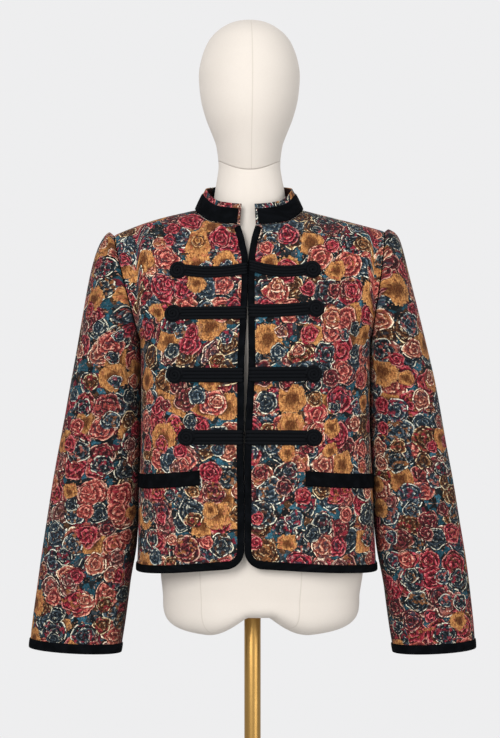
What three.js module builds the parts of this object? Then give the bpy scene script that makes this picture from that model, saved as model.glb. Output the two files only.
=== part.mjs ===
// A cropped jacquard jacket with black trim and frog fastenings, on a limbless dress form.
// Millimetres, +Z up. X runs to the viewer's right and the front faces -Y.
// The origin is the middle of the base plate's underside, on the axis of the pole.

import * as THREE from "three";

// Cloth and seams
const CLOTH = 1.8;
const COLLAR_CLOTH = 2.2;
const TRIM = 1.2;
const SEAM = 0.5;
const TRIM_LIFT = 0.95;
const COLLAR_LIFT = 1.45;
const BAND_LIFT = 0.6;

// Jacket body: heights of the hem, the underarm and the neck, and where they fall along a panel
const HEM = { front: 891, side: 877.5, back: 875 };
const UNDERARM_Z = 1222;
const SIDE_Y = 4;
const V_UNDERARM = 0.55;
const V_NECK = 0.78;
const V_SHOULDER = 1 - 0.0007;
const CORNER_RADIUS = 25;
const BODY_ROUNDNESS = 2.7;
const CHEST_Z = UNDERARM_Z + 40;

// Over the underarm the rows open out from rounded to flat: where that starts and ends
const OPENING = { from: V_UNDERARM - 0.02, to: V_UNDERARM + 0.2, power: 0.9 };
const FOLD_FADE = 0.05;

// Neckline, a loop round the neck that rises from the front to the back
const NECK = { x: -5, y: -8, half: 80, front: 72, back: 70 };
const NECK_RISE = [
  { angle: 0, z: 1385.5 },
  { angle: 15, z: 1386.3 },
  { angle: 30, z: 1388.5 },
  { angle: 45, z: 1392.2 },
  { angle: 60, z: 1400 },
  { angle: 75, z: 1408.4 },
  { angle: 90, z: 1413.2 },
  { angle: 135, z: 1420.5 },
  { angle: 180, z: 1424 },
];

// Each side's own sizes: the shoulder tip and underarm that the armhole passes through
const SIDES = {
  left: {
    sign: -1,
    tip: { x: -207, z: 1377 },
    under: { x: -168, z: UNDERARM_Z },
    neckAngle: 9.8,
    shoulderBulge: 4.4,
    bar: [108, 114, 111, 94],
  },
  right: {
    sign: 1,
    tip: { x: 197.7, z: 1382.8 },
    under: { x: 176.5, z: UNDERARM_Z },
    neckAngle: 7,
    shoulderBulge: 0.6,
    bar: [86.5, 91, 87, 86.5],
  },
};
const ARMHOLE = { y: 2, front: 64, back: 67 };

// The side seam and the front edge, by height
const SIDE_SEAM = [
  { z: 860, left: -172.4, right: 185.4 },
  { z: 950, left: -170.5, right: 182 },
  { z: 1019, left: -168.5, right: 179 },
  { z: 1100, left: -166.8, right: 175.6 },
  { z: 1190, left: -166.8, right: 175.2 },
  { z: 1222, left: -168, right: 176.5 },
];
const FRONT_EDGE = [
  { z: 880, left: -12.6, right: -11.2, y: -112 },
  { z: 1000, left: -12.8, right: -11, y: -116 },
  { z: 1062, left: -13.6, right: -10.9, y: -119 },
  { z: 1116, left: -12.8, right: -8.8, y: -121 },
  { z: 1189, left: -12.4, right: -5.6, y: -122 },
  { z: 1240, left: -9.6, right: -6, y: -119 },
  { z: 1290, left: -7.7, right: -6.1, y: -110 },
  { z: 1340, left: -7.4, right: -5.2, y: -96 },
  { z: 1357, left: -10.9, right: -2.8, y: -90.2 },
  { z: 1372, left: -14.2, right: 0.4, y: -84.6 },
];
const BACK_LINE = [
  { z: 860, x: 6.5, y: 109 },
  { z: 950, x: 5, y: 103 },
  { z: 1050, x: 3, y: 96 },
  { z: 1150, x: 1, y: 95 },
  { z: 1250, x: -2, y: 101 },
  { z: 1320, x: -4, y: 99 },
  { z: 1380, x: -5, y: 84 },
];

// Large soft folds of the panels: place along and across, reach, and rise (minus for a trough)
const FOLDS = [
  { face: "front", side: "left", along: 0.6, across: 0.9, reachV: 0.09, reachA: 0.07, rise: -5 },
  { face: "front", side: "left", along: 0.6, across: 0.76, reachV: 0.1, reachA: 0.08, rise: 2.5 },
  { face: "front", side: "right", along: 0.6, across: 0.9, reachV: 0.08, reachA: 0.07, rise: -4 },
  { face: "front", side: "left", along: 0.1, across: 0.62, reachV: 0.22, reachA: 0.13, rise: 3 },
  { face: "front", side: "left", along: 0.08, across: 0.38, reachV: 0.2, reachA: 0.1, rise: -2.5 },
  { face: "front", side: "right", along: 0.1, across: 0.55, reachV: 0.24, reachA: 0.12, rise: 3 },
  { face: "front", side: "right", along: 0.1, across: 0.8, reachV: 0.2, reachA: 0.08, rise: -2.5 },
  { face: "back", side: "left", along: 0.62, across: 0.86, reachV: 0.12, reachA: 0.08, rise: -5 },
  { face: "back", side: "right", along: 0.62, across: 0.86, reachV: 0.12, reachA: 0.08, rise: -4.5 },
  { face: "back", side: "left", along: 0.08, across: 0.5, reachV: 0.3, reachA: 0.14, rise: 4 },
  { face: "back", side: "right", along: 0.06, across: 0.62, reachV: 0.26, reachA: 0.12, rise: 4.5 },
  { face: "back", side: "right", along: 0.1, across: 0.2, reachV: 0.3, reachA: 0.12, rise: -4 },
];

// Sleeves: the outer and inner ends of each ring, its half depth and the place of its middle
const SLEEVES = {
  left: [
    { outerX: -207, outerZ: 1377, innerX: -168, innerZ: 1222, front: 64, back: 67 },
    { outerX: -217, outerZ: 1379, innerX: -168.9, innerZ: 1217, front: 66.5, back: 69 },
    { outerX: -232, outerZ: 1357, innerX: -169.3, innerZ: 1206, front: 68, back: 70 },
    { outerX: -243.5, outerZ: 1318, innerX: -169.6, innerZ: 1188, front: 68, back: 69 },
    { outerX: -254.5, outerZ: 1256, innerX: -169.8, innerZ: 1158, front: 66, back: 66 },
    { outerX: -267, outerZ: 1186, innerX: -170, innerZ: 1112, front: 62, back: 62 },
    { outerX: -279, outerZ: 1119.5, innerX: -170.4, innerZ: 1062, front: 58, back: 59 },
    { outerX: -291.5, outerZ: 1055, innerX: -171.6, innerZ: 1010, front: 54, back: 55 },
    { outerX: -307.5, outerZ: 958, innerX: -175.4, innerZ: 932, front: 49, back: 50 },
    { outerX: -319, outerZ: 878, innerX: -182, innerZ: 866, front: 45, back: 46 },
    { outerX: -329, outerZ: 810.5, innerX: -190, innerZ: 803, front: 43, back: 43 },
    { outerX: -334.2, outerZ: 760, innerX: -198, innerZ: 752.5, front: 42, back: 42 },
  ],
  right: [
    { outerX: 197.7, outerZ: 1382.8, innerX: 176.5, innerZ: 1222, front: 64, back: 67 },
    { outerX: 206, outerZ: 1384, innerX: 177.3, innerZ: 1217, front: 66.5, back: 69 },
    { outerX: 221, outerZ: 1369, innerX: 177.7, innerZ: 1206, front: 68, back: 70 },
    { outerX: 235.5, outerZ: 1315.6, innerX: 178, innerZ: 1188, front: 68, back: 69 },
    { outerX: 250, outerZ: 1256, innerX: 178.3, innerZ: 1158, front: 66, back: 66 },
    { outerX: 268, outerZ: 1183, innerX: 178.8, innerZ: 1112, front: 62, back: 62 },
    { outerX: 281, outerZ: 1119.5, innerX: 179.4, innerZ: 1062, front: 58, back: 59 },
    { outerX: 293.5, outerZ: 1051, innerX: 182.4, innerZ: 1006, front: 54, back: 55 },
    { outerX: 310, outerZ: 955, innerX: 187, innerZ: 930, front: 49, back: 50 },
    { outerX: 323, outerZ: 870, innerX: 196, innerZ: 860, front: 45, back: 46 },
    { outerX: 331, outerZ: 806, innerX: 204, innerZ: 798, front: 43, back: 43 },
    { outerX: 334.2, outerZ: 759, innerX: 211.5, innerZ: 752.5, front: 42, back: 42 },
  ],
};
const SLEEVE_Y = 2;
const GATHERS = { count: 6, spread: 80, fade: 20, rise: 1.6, reach: 2.6, full: [0.9, 1.2] };
const SLEEVE_FOLDS = [
  { side: "left", ring: 3.2, angle: 118, reachRing: 1.1, reachAngle: 22, rise: -4 },
  { side: "left", ring: 5.4, angle: 60, reachRing: 1.2, reachAngle: 26, rise: -3.5 },
  { side: "left", ring: 7.6, angle: 105, reachRing: 1.6, reachAngle: 20, rise: -3 },
  { side: "left", ring: 5.8, angle: 250, reachRing: 1.6, reachAngle: 24, rise: -4.5 },
  { side: "right", ring: 3.4, angle: 120, reachRing: 1.2, reachAngle: 22, rise: -4 },
  { side: "right", ring: 5.8, angle: 70, reachRing: 1.1, reachAngle: 26, rise: -3.5 },
  { side: "right", ring: 8, angle: 100, reachRing: 1.6, reachAngle: 22, rise: -3 },
  { side: "right", ring: 5.2, angle: 255, reachRing: 1.5, reachAngle: 24, rise: -4.5 },
];
const CUFF_HEIGHT = 14.5;

// Collar and trims
const COLLAR = { height: 31, lean: 12.5, sideLean: 2, band: 24, bandFoot: 0.5, endStrip: 3.5 };
const BINDING_WIDTH = 9.5;
const BINDING_END = 0.002;
const CORNER_STEPS = 5;
const WELT_STEPS = 9;
const HEM_WIDTH = 11.5;
const WELT = { low: 0.196, high: 0.2305, start: 76, end: 1.2, thick: 1.6, lift: 1 };
const FROG_ROWS = {
  left: [
    { disc: 1319.6, mid: 1316.4, centre: 1321, half: 7.8 },
    { disc: 1256.6, mid: 1256.8, centre: 1257.4, half: 8.6 },
    { disc: 1168, mid: 1168, centre: 1168, half: 9.6 },
    { disc: 1078.6, mid: 1078.8, centre: 1079, half: 9.9 },
  ],
  right: [
    { disc: 1320.4, mid: 1317.6, centre: 1325.4, half: 7.8 },
    { disc: 1263.6, mid: 1260.4, centre: 1260, half: 8.6 },
    { disc: 1169.4, mid: 1169.2, centre: 1169, half: 9.6 },
    { disc: 1078, mid: 1078.6, centre: 1079, half: 9.9 },
  ],
};
const DISC_RADIUS = 12;
const BAR = {
  cords: 4,
  base: 1,
  ridge: 1.3,
  overTrim: 2.6,
  rampFrom: 11.5,
  rampTo: 23,
  inset: 0.6,
  gap: 0.5,
};
const COIL = {
  middle: 1.8,
  rings: [
    { radius: 0.28, rise: 2.7 },
    { radius: 0.5, rise: 1.6 },
    { radius: 0.74, rise: 2.5 },
    { radius: 1, rise: 1.2 },
  ],
};

// Dress form: head, body, pole and base
const HEAD = [
  { z: 1488, half: 46.5, front: -46, back: 50, dip: 17 },
  { z: 1498, half: 47.6, front: -54, back: 54, dip: 12 },
  { z: 1514, half: 50.6, front: -66, back: 61, dip: 4 },
  { z: 1532, half: 57.6, front: -77, back: 69, dip: 0 },
  { z: 1553, half: 65.6, front: -85, back: 79, dip: 0 },
  { z: 1580, half: 72.6, front: -90, back: 88, dip: 0 },
  { z: 1614, half: 75.8, front: -91, back: 94, dip: 0 },
  { z: 1636, half: 73.2, front: -87, back: 93, dip: 0 },
  { z: 1655, half: 67.4, front: -79, back: 88, dip: 0 },
  { z: 1671, half: 59, front: -69, back: 79, dip: 0 },
  { z: 1684, half: 46, front: -53, back: 63, dip: 0 },
  { z: 1694, half: 28.5, front: -31, back: 41, dip: 0 },
];
const HEAD_X = -4.7;
const HEAD_TOP = { y: 5, z: 1700 };
const HEAD_SEAT_Y = 7;
const FORM = [
  { z: 1487.4, x: -4.6, half: 46.5, front: -46, back: 50, dip: 17, round: 2 },
  { z: 1474, x: -4.5, half: 46.8, front: -47, back: 49, dip: 11, round: 2 },
  { z: 1446, x: -4.2, half: 51.4, front: -50, back: 44, dip: 3, round: 2 },
  { z: 1428, x: -4, half: 55, front: -53, back: 46, dip: 0, round: 2 },
  { z: 1416, x: -4, half: 63, front: -56, back: 49, dip: 0, round: 1.7 },
  { z: 1409.4, x: -4, half: 80, front: -58, back: 51, dip: 0, round: 1.4 },
  { z: 1405.4, x: -4, half: 103, front: -59, back: 54, dip: 0, round: 1.3 },
  { z: 1396, x: -4, half: 124, front: -62, back: 58, dip: 0, round: 1.45 },
  { z: 1380, x: -4, half: 146, front: -67, back: 66, dip: 0, round: 1.75 },
  { z: 1355, x: -4, half: 161, front: -76, back: 74, dip: 0, round: 2 },
  { z: 1320, x: -2, half: 165, front: -90, back: 83, dip: 0, round: 2 },
  { z: 1280, x: 0, half: 160, front: -103, back: 88, dip: 0, round: 2.1 },
  { z: 1235, x: 2, half: 152, front: -111, back: 87, dip: 0, round: 2.2 },
  { z: 1180, x: 4, half: 138, front: -102, back: 78, dip: 0, round: 2.2 },
  { z: 1100, x: 6, half: 122, front: -88, back: 70, dip: 0, round: 2.1 },
  { z: 1020, x: 10, half: 134, front: -90, back: 80, dip: 0, round: 2.1 },
  { z: 950, x: 13, half: 149, front: -95, back: 91, dip: 0, round: 2.2 },
  { z: 885, x: 14, half: 152, front: -96, back: 93, dip: 0, round: 2.2 },
  { z: 838, x: 13, half: 147, front: -93, back: 90, dip: 0, round: 2.2 },
];
const LOBES = {
  notchZ: 810,
  drop: 30,
  flat: 16,
  reach: 60,
  x: 2,
  power: 0.9,
  square: 0.55,
  turns: [14, 32, 50, 67],
};
const POLE_RADIUS = 12.3;
const BASE = { radius: 170, thick: 8, edge: 3 };
const SOCKET = { radius: 25, height: 30, clear: 0.4, edge: 3 };
const JOINT = 0.3;

// Steps of the meshes, and how far apart points are taken to find a slope
const FRONT_COLUMNS = 11;
const BACK_COLUMNS = 10;
const SLEEVE_AROUND = 24;
const COLLAR_AROUND = 26;
const FORM_AROUND = 20;
const DISC_AROUND = 12;
const POLE_AROUND = 24;
const PLATE_AROUND = 32;
const NEAR = { across: 0.01, v: 0.004 };

const COLOURS = {
  floral: { color: 0x7a4a3c, roughness: 0.85, metalness: 0 },
  trim: { color: 0x131417, roughness: 0.9, metalness: 0 },
  cord: { color: 0x101114, roughness: 0.75, metalness: 0 },
  linen: { color: 0xe9e3d8, roughness: 0.9, metalness: 0 },
  brass: { color: 0xb08a45, roughness: 0.25, metalness: 1 },
};

const lerp = (a, b, t) => a + (b - a) * t;
const clamp01 = (t) => Math.min(1, Math.max(0, t));
const smooth = (from, to, t) => {
  const s = clamp01((t - from) / (to - from));
  return s * s * (3 - 2 * s);
};
const radians = (degrees) => (degrees * Math.PI) / 180;
const vec = (x, y, z) => new THREE.Vector3(x, y, z);
const steps = (count) => Array.from({ length: count + 1 }, (_, i) => i / count);

// A smooth value of one named column of a table, at a place along another
function column(table, key, at, name) {
  const last = table.length - 1;
  let i = table.findIndex((row) => row[key] > at) - 1;
  if (i === -2) i = last - 1;
  i = Math.max(0, i);
  const slope = (k) => {
    const a = table[Math.max(0, k - 1)];
    const b = table[Math.min(last, k + 1)];
    return (b[name] - a[name]) / (b[key] - a[key]);
  };
  const p = table[i];
  const q = table[i + 1];
  const span = q[key] - p[key];
  const t = clamp01((at - p[key]) / span);
  const t2 = t * t;
  const t3 = t2 * t;
  return (
    (2 * t3 - 3 * t2 + 1) * p[name] +
    (t3 - 2 * t2 + t) * span * slope(i) +
    (3 * t2 - 2 * t3) * q[name] +
    (t3 - t2) * span * slope(i + 1)
  );
}

// A point of the neckline, by its angle from the front on one side
function neckPoint(sign, angle) {
  const a = radians(angle);
  const reach = Math.cos(a) > 0 ? NECK.front : NECK.back;
  const z = column(NECK_RISE, "angle", angle, "z");
  return vec(NECK.x + sign * NECK.half * Math.sin(a), NECK.y - reach * Math.cos(a), z);
}

// A point of the armhole: 0 is the underarm and 180 the shoulder tip
function armholePoint(side, face, angle) {
  const { tip, under } = SIDES[side];
  const a = radians(angle);
  const rise = (1 - Math.cos(a)) / 2;
  const reach = face === "front" ? -ARMHOLE.front : ARMHOLE.back;
  const y = lerp(SIDE_Y, ARMHOLE.y, rise) + reach * Math.sin(a);
  return vec(lerp(under.x, tip.x, rise), y, lerp(under.z, tip.z, rise));
}

// Where a row of a panel starts: on the front edge or the middle of the back, then on the neckline
function rowStart(side, face, v) {
  const { sign, neckAngle } = SIDES[side];
  const first = face === "front" ? neckAngle : 0;
  if (v > V_NECK) {
    const t = (v - V_NECK) / (1 - V_NECK);
    return neckPoint(sign, face === "front" ? lerp(first, 90, t) : lerp(180, 90, t));
  }
  if (face === "front") {
    const top = neckPoint(sign, first);
    const edge = [...FRONT_EDGE, { z: top.z, [side]: top.x, y: top.y }];
    const z = lerp(HEM.front, top.z, v / V_NECK);
    return vec(column(edge, "z", z, side), column(edge, "z", z, "y"), z);
  }
  const top = neckPoint(sign, 180);
  const line = [...BACK_LINE, { z: top.z, x: top.x, y: top.y }];
  const z = lerp(HEM.back, top.z, v / V_NECK);
  return vec(column(line, "z", z, "x"), column(line, "z", z, "y"), z);
}

// Where a row ends: on the side seam, then on the armhole
function rowEnd(side, face, v) {
  if (v > V_UNDERARM) {
    return armholePoint(side, face, (180 * (v - V_UNDERARM)) / (1 - V_UNDERARM));
  }
  const z = lerp(HEM.side, UNDERARM_Z, v / V_UNDERARM);
  return vec(column(SIDE_SEAM, "z", z, side), SIDE_Y, z);
}

function foldRise(side, face, v, across) {
  let rise = 0;
  for (const fold of FOLDS) {
    if (fold.face !== face || fold.side !== side) continue;
    const dv = (v - fold.along) / fold.reachV;
    const da = (across - fold.across) / fold.reachA;
    rise += fold.rise * Math.exp(-dv * dv - da * da);
  }
  return rise * smooth(0, FOLD_FADE, 1 - across) * smooth(0, FOLD_FADE, 1 - v);
}

// A point of a panel's outer surface, at a share of the way across a row
function panelPoint(side, face, v, across) {
  const start = rowStart(side, face, v);
  const end = rowEnd(side, face, v);
  const open = smooth(OPENING.from, OPENING.to, v);
  const power = lerp(1 / BODY_ROUNDNESS, OPENING.power, open);
  const fall = Math.pow(Math.max(0, 1 - Math.pow(across, BODY_ROUNDNESS)), power);
  const pad = SIDES[side].shoulderBulge * Math.sin(Math.PI * across) * smooth(V_NECK, 1, v);
  const point = vec(
    lerp(start.x, end.x, across),
    end.y + (start.y - end.y) * fall,
    lerp(start.z, end.z, across) + pad,
  );
  const out = point.clone().sub(bodyMiddle(point)).normalize();
  return point.addScaledVector(out, foldRise(side, face, v, across));
}

// The share across a row at a length along it, from a table of the row's own lengths
const rowTables = new Map();
const ROW_STEPS = 48;
function rowTable(side, face, v) {
  const key = `${side} ${face} ${v.toFixed(5)}`;
  if (!rowTables.has(key)) {
    const table = [{ across: 0, length: 0 }];
    let last = panelPoint(side, face, v, 0);
    for (let i = 1; i <= ROW_STEPS; i += 1) {
      const across = Math.sin((Math.PI / 2) * (i / ROW_STEPS));
      const point = panelPoint(side, face, v, across);
      table.push({ across, length: table[i - 1].length + point.distanceTo(last) });
      last = point;
    }
    rowTables.set(key, table);
  }
  return rowTables.get(key);
}
const rowLength = (side, face, v) => rowTable(side, face, v)[ROW_STEPS].length;
function acrossAt(side, face, v, length) {
  const table = rowTable(side, face, v);
  let i = table.findIndex((row) => row.length > length) - 1;
  if (i === -2) i = ROW_STEPS - 1;
  const a = table[Math.max(0, i)];
  const b = table[Math.max(0, i) + 1];
  return lerp(a.across, b.across, clamp01((length - a.length) / (b.length - a.length)));
}

// The panel's point moved out along its normal
function panelOut(side, face, v, across, out) {
  const point = panelPoint(side, face, v, across);
  if (out === 0) return point;
  const a0 = Math.max(0, across - NEAR.across);
  const a1 = Math.min(1, across + NEAR.across);
  const v0 = Math.max(0, v - NEAR.v);
  const v1 = Math.min(1, v + NEAR.v);
  const alongA = panelPoint(side, face, v, a1).sub(panelPoint(side, face, v, a0));
  const alongV = panelPoint(side, face, v1, across).sub(panelPoint(side, face, v0, across));
  const normal = alongA.cross(alongV).normalize();
  if (normal.dot(point.clone().sub(bodyMiddle(point))) < 0) normal.negate();
  return point.addScaledVector(normal, out);
}

// Quads of a grid of points, row by row; closed joins the last column to the first
function gridFaces(rows, columns, closed = false) {
  const faces = [];
  const across = closed ? columns : columns - 1;
  for (let r = 0; r < rows - 1; r += 1) {
    for (let c = 0; c < across; c += 1) {
      const d = (c + 1) % columns;
      faces.push([r * columns + c, r * columns + d, (r + 1) * columns + d, (r + 1) * columns + c]);
    }
  }
  return faces;
}

function geometryFrom(points, triangles) {
  const geometry = new THREE.BufferGeometry();
  const flat = points.flatMap((p) => [p.x, p.y, p.z]);
  geometry.setAttribute("position", new THREE.Float32BufferAttribute(flat, 3));
  geometry.setIndex(triangles.flat());
  geometry.computeVertexNormals();
  return geometry;
}

const splitQuad = (face) =>
  face.length === 3 ? [face] : [[face[0], face[1], face[2]], [face[0], face[2], face[3]]];

// Turns the faces over if the solid is inside out
function facingOut(points, triangles) {
  let volume = 0;
  for (const [a, b, c] of triangles) {
    volume += points[a].dot(points[b].clone().cross(points[c]));
  }
  return volume > 0 ? triangles : triangles.map(([a, b, c]) => [a, c, b]);
}

// A closed solid between an outer and an inner sheet with the same faces
function between(outer, inner, faces) {
  const triangles = faces.flatMap(splitQuad);
  const count = outer.length;
  const edges = new Map();
  for (const face of faces) {
    face.forEach((a, k) => {
      const b = face[(k + 1) % face.length];
      if (edges.has(`${b} ${a}`)) edges.delete(`${b} ${a}`);
      else edges.set(`${a} ${b}`, [a, b]);
    });
  }
  const all = triangles.slice();
  for (const [a, b, c] of triangles) all.push([a + count, c + count, b + count]);
  for (const [a, b] of edges.values()) {
    all.push([b, a, a + count], [b, a + count, b + count]);
  }
  const solid = [...outer, ...inner];
  return geometryFrom(solid, facingOut(solid, all));
}

// A wall of cloth: an outer sheet of points and the same sheet moved in.
// outward(i, normal) gives the direction at a point from the sheet's own normal there.
function wall(points, faces, thickness, outward) {
  const normals = geometryFrom(points, faces.flatMap(splitQuad)).getAttribute("normal");
  const inner = points.map((point, i) => {
    const normal = vec(normals.getX(i), normals.getY(i), normals.getZ(i));
    return point.clone().addScaledVector(outward(i, normal), -thickness);
  });
  return between(points, inner, faces);
}

// The usual outward rule: away from a middle line, given per point
const awayFrom = (points, middleOf) => (i, normal) =>
  normal.dot(points[i].clone().sub(middleOf(points[i]))) < 0 ? normal.negate() : normal;

// The body's middle line: it stops at the chest, so that the shoulders face up
const bodyMiddle = (p) => vec(NECK.x, 0, Math.min(p.z, CHEST_Z));

function piece(name, geometry, colour) {
  const mesh = new THREE.Mesh(geometry, new THREE.MeshStandardMaterial(COLOURS[colour]));
  mesh.name = name;
  return mesh;
}

// The rounded lower corner: how far in from the front edge the cloth starts at a height
function cornerStart(height, radius) {
  if (height >= radius) return 0;
  return radius - Math.sqrt(Math.max(0, radius * radius - (radius - height) ** 2));
}
const heightToV = (height) => (height * V_NECK) / (neckPoint(1, 0).z - HEM.front);
const vToHeight = (v) => (v / V_NECK) * (neckPoint(1, 0).z - HEM.front);

const CORNER_ROWS = [0, 1.5, 6, 14, CORNER_RADIUS].map(heightToV);
const PANEL_ROWS = [
  ...CORNER_ROWS,
  0.095, 0.155, 0.215, 0.275, 0.335, 0.395, 0.455, 0.51, V_UNDERARM, 0.59, 0.635, 0.685, 0.735,
  V_NECK, 0.825, 0.87, 0.915, 0.958, V_SHOULDER,
];

// Seam edges stand square to the seam, so that the walls on both sides stay apart
function seamRule(points, seams) {
  const usual = awayFrom(points, bodyMiddle);
  return (i, normal) => {
    const direction = usual(i, normal);
    return seams.has(i) ? direction.setY(0).normalize() : direction;
  };
}

function frontPanel(side) {
  const points = [];
  const seams = new Set();
  for (const v of PANEL_ROWS) {
    const length = rowLength(side, "front", v) - SEAM / 2;
    const start = cornerStart(vToHeight(v), CORNER_RADIUS);
    for (const t of steps(FRONT_COLUMNS)) {
      const across = acrossAt(side, "front", v, lerp(start, length, t));
      if ((t === 1 && v <= V_UNDERARM) || v === V_SHOULDER) seams.add(points.length);
      points.push(panelPoint(side, "front", v, t === 1 && v > V_UNDERARM ? 1 : across));
    }
  }
  const faces = gridFaces(PANEL_ROWS.length, FRONT_COLUMNS + 1);
  return piece(`front_${side}`, wall(points, faces, CLOTH, seamRule(points, seams)), "floral");
}

// The back is one piece: its rows run right across up to the neck, and stop at the neckline above
function backPanel() {
  const points = [];
  const seams = new Set();
  const index = new Map();
  const add = (side, row, c) => {
    const v = PANEL_ROWS[row];
    const shared = c === 0 && v <= V_NECK;
    const key = shared ? `middle ${row}` : `${side} ${row} ${c}`;
    if (!index.has(key)) {
      const length = rowLength(side, "back", v) - SEAM / 2;
      const t = c / BACK_COLUMNS;
      const across = acrossAt(side, "back", v, length * t);
      if ((c === BACK_COLUMNS && v <= V_UNDERARM) || v === V_SHOULDER) seams.add(points.length);
      index.set(key, points.length);
      points.push(panelPoint(side, "back", v, c === BACK_COLUMNS && v > V_UNDERARM ? 1 : across));
    }
    return index.get(key);
  };
  const faces = [];
  for (let row = 0; row < PANEL_ROWS.length - 1; row += 1) {
    for (let c = 0; c < BACK_COLUMNS; c += 1) {
      const quad = (side) => [
        add(side, row, c),
        add(side, row, c + 1),
        add(side, row + 1, c + 1),
        add(side, row + 1, c),
      ];
      faces.push(quad("left"));
      faces.push(quad("right").reverse());
    }
  }
  return piece("back", wall(points, faces, CLOTH, seamRule(points, seams)), "floral");
}

// A point of a sleeve: a place along its rings, and an angle round from the outer edge
function sleevePoint(side, ring, angle, out = 0) {
  const table = SLEEVES[side].map((row, i) => ({ ...row, i }));
  const at = (name) => column(table, "i", ring, name);
  const outer = vec(at("outerX"), 0, at("outerZ"));
  const inner = vec(at("innerX"), 0, at("innerZ"));
  const a = radians(angle);
  const front = Math.sin(a) > 0;
  const half = (front ? at("front") : at("back")) + out;
  const middle = outer.clone().lerp(inner, 0.5);
  const reach = outer.clone().sub(inner).multiplyScalar(0.5);
  reach.setLength(reach.length() + out + sleeveRise(side, ring, angle));
  const y = lerp(lerp(SIDE_Y, ARMHOLE.y, (1 + Math.cos(a)) / 2), SLEEVE_Y, clamp01(ring));
  const point = middle.addScaledVector(reach, Math.cos(a));
  const depth = half + sleeveRise(side, ring, angle);
  point.y = y + (front ? -1 : 1) * depth * Math.abs(Math.sin(a));
  if (ring < 1) point.x += SIDES[side].sign * SEAM * (1 - ring);
  return point;
}

function sleeveRise(side, ring, angle) {
  let rise = 0;
  for (const fold of SLEEVE_FOLDS) {
    if (fold.side !== side) continue;
    const dr = (ring - fold.ring) / fold.reachRing;
    const da = (angle - fold.angle) / fold.reachAngle;
    rise += fold.rise * Math.exp(-dr * dr - da * da);
  }
  const round = angle > 180 ? angle - 360 : angle;
  const { count, spread, fade, reach, full } = GATHERS;
  const top = 1 - smooth(spread - fade, spread, Math.abs(round));
  const near = smooth(0, full[0], ring) * (1 - smooth(full[1], reach, ring));
  return rise + GATHERS.rise * top * near * Math.cos((round * count * Math.PI) / spread);
}

const SLEEVE_ROWS = [0, 0.5, 1, 1.5, 2, 2.6, 3.3, 4, 4.8, 5.6, 6.4, 7.2, 8, 8.8, 9.6, 10.4, 11];

function sleeveMiddle(side, ring) {
  return sleevePoint(side, ring, 0).add(sleevePoint(side, ring, 180)).multiplyScalar(0.5);
}

function tube(side, rings, out, thickness) {
  const points = [];
  const middles = [];
  for (const ring of rings) {
    for (let k = 0; k < SLEEVE_AROUND; k += 1) {
      points.push(sleevePoint(side, ring, (360 * k) / SLEEVE_AROUND, out));
      middles.push(sleeveMiddle(side, ring));
    }
  }
  const faces = gridFaces(rings.length, SLEEVE_AROUND, true);
  const outward = (i, normal) =>
    normal.dot(points[i].clone().sub(middles[i])) < 0 ? normal.negate() : normal;
  return wall(points, faces, thickness, outward);
}

function sleeve(side) {
  return piece(`sleeve_${side}`, tube(side, SLEEVE_ROWS, 0, CLOTH), "floral");
}

function cuffBand(side) {
  const last = SLEEVES[side].length - 1;
  const a = SLEEVES[side][last - 1];
  const b = SLEEVES[side][last];
  const ringLength = Math.hypot(b.outerX - a.outerX, b.outerZ - a.outerZ);
  const from = last - CUFF_HEIGHT / ringLength;
  return piece(`cuff_band_${side}`, tube(side, [from, last], TRIM + BAND_LIFT, TRIM), "trim");
}

// The stand collar: a point at an angle round from the left front end, and a height
const COLLAR_FROM = -180 + SIDES.left.neckAngle;
const COLLAR_TO = 180 - SIDES.right.neckAngle;
function collarPoint(turn, height, out) {
  const sign = turn < 0 ? -1 : 1;
  const angle = 180 - Math.abs(turn);
  const foot = neckPoint(sign, angle);
  const away = vec(foot.x - NECK.x, foot.y - NECK.y, 0).normalize();
  const lean = ((COLLAR.lean + COLLAR.sideLean * Math.sin(radians(angle)) ** 2) * height) / COLLAR.height;
  foot.z += COLLAR_LIFT + height;
  return foot.addScaledVector(away, out - lean);
}

// end is the angle left bare at each end
function collarSheet(end, low, high, out, thickness) {
  const rows = [low, (low + high) / 2, high];
  const turns = steps(COLLAR_AROUND).map((t) => lerp(COLLAR_FROM, COLLAR_TO, t));
  turns[0] += end;
  turns[COLLAR_AROUND] -= end;
  const points = rows.flatMap((height) => turns.map((turn) => collarPoint(turn, height, out)));
  const faces = gridFaces(rows.length, COLLAR_AROUND + 1);
  const middle = (p) => vec(NECK.x, NECK.y, p.z - 10);
  return wall(points, faces, thickness, awayFrom(points, middle));
}

function collar() {
  return piece("collar", collarSheet(0, 0, COLLAR.height, 0, COLLAR_CLOTH), "floral");
}

function collarBand() {
  const end = (COLLAR.endStrip / NECK.front) * (180 / Math.PI);
  const out = TRIM + BAND_LIFT;
  return piece("collar_band", collarSheet(end, COLLAR.bandFoot, COLLAR.band, out, TRIM), "trim");
}

// A strip that lies on a panel: rows of places, each a height along and a length across
function stripOn(side, face, rows, lift, thickness) {
  const points = rows.flatMap((row) =>
    row.map(({ v, a }) => panelOut(side, face, v, acrossAt(side, face, v, a), lift + thickness)),
  );
  const faces = gridFaces(rows.length, rows[0].length);
  return wall(points, faces, thickness, awayFrom(points, bodyMiddle));
}

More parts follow.
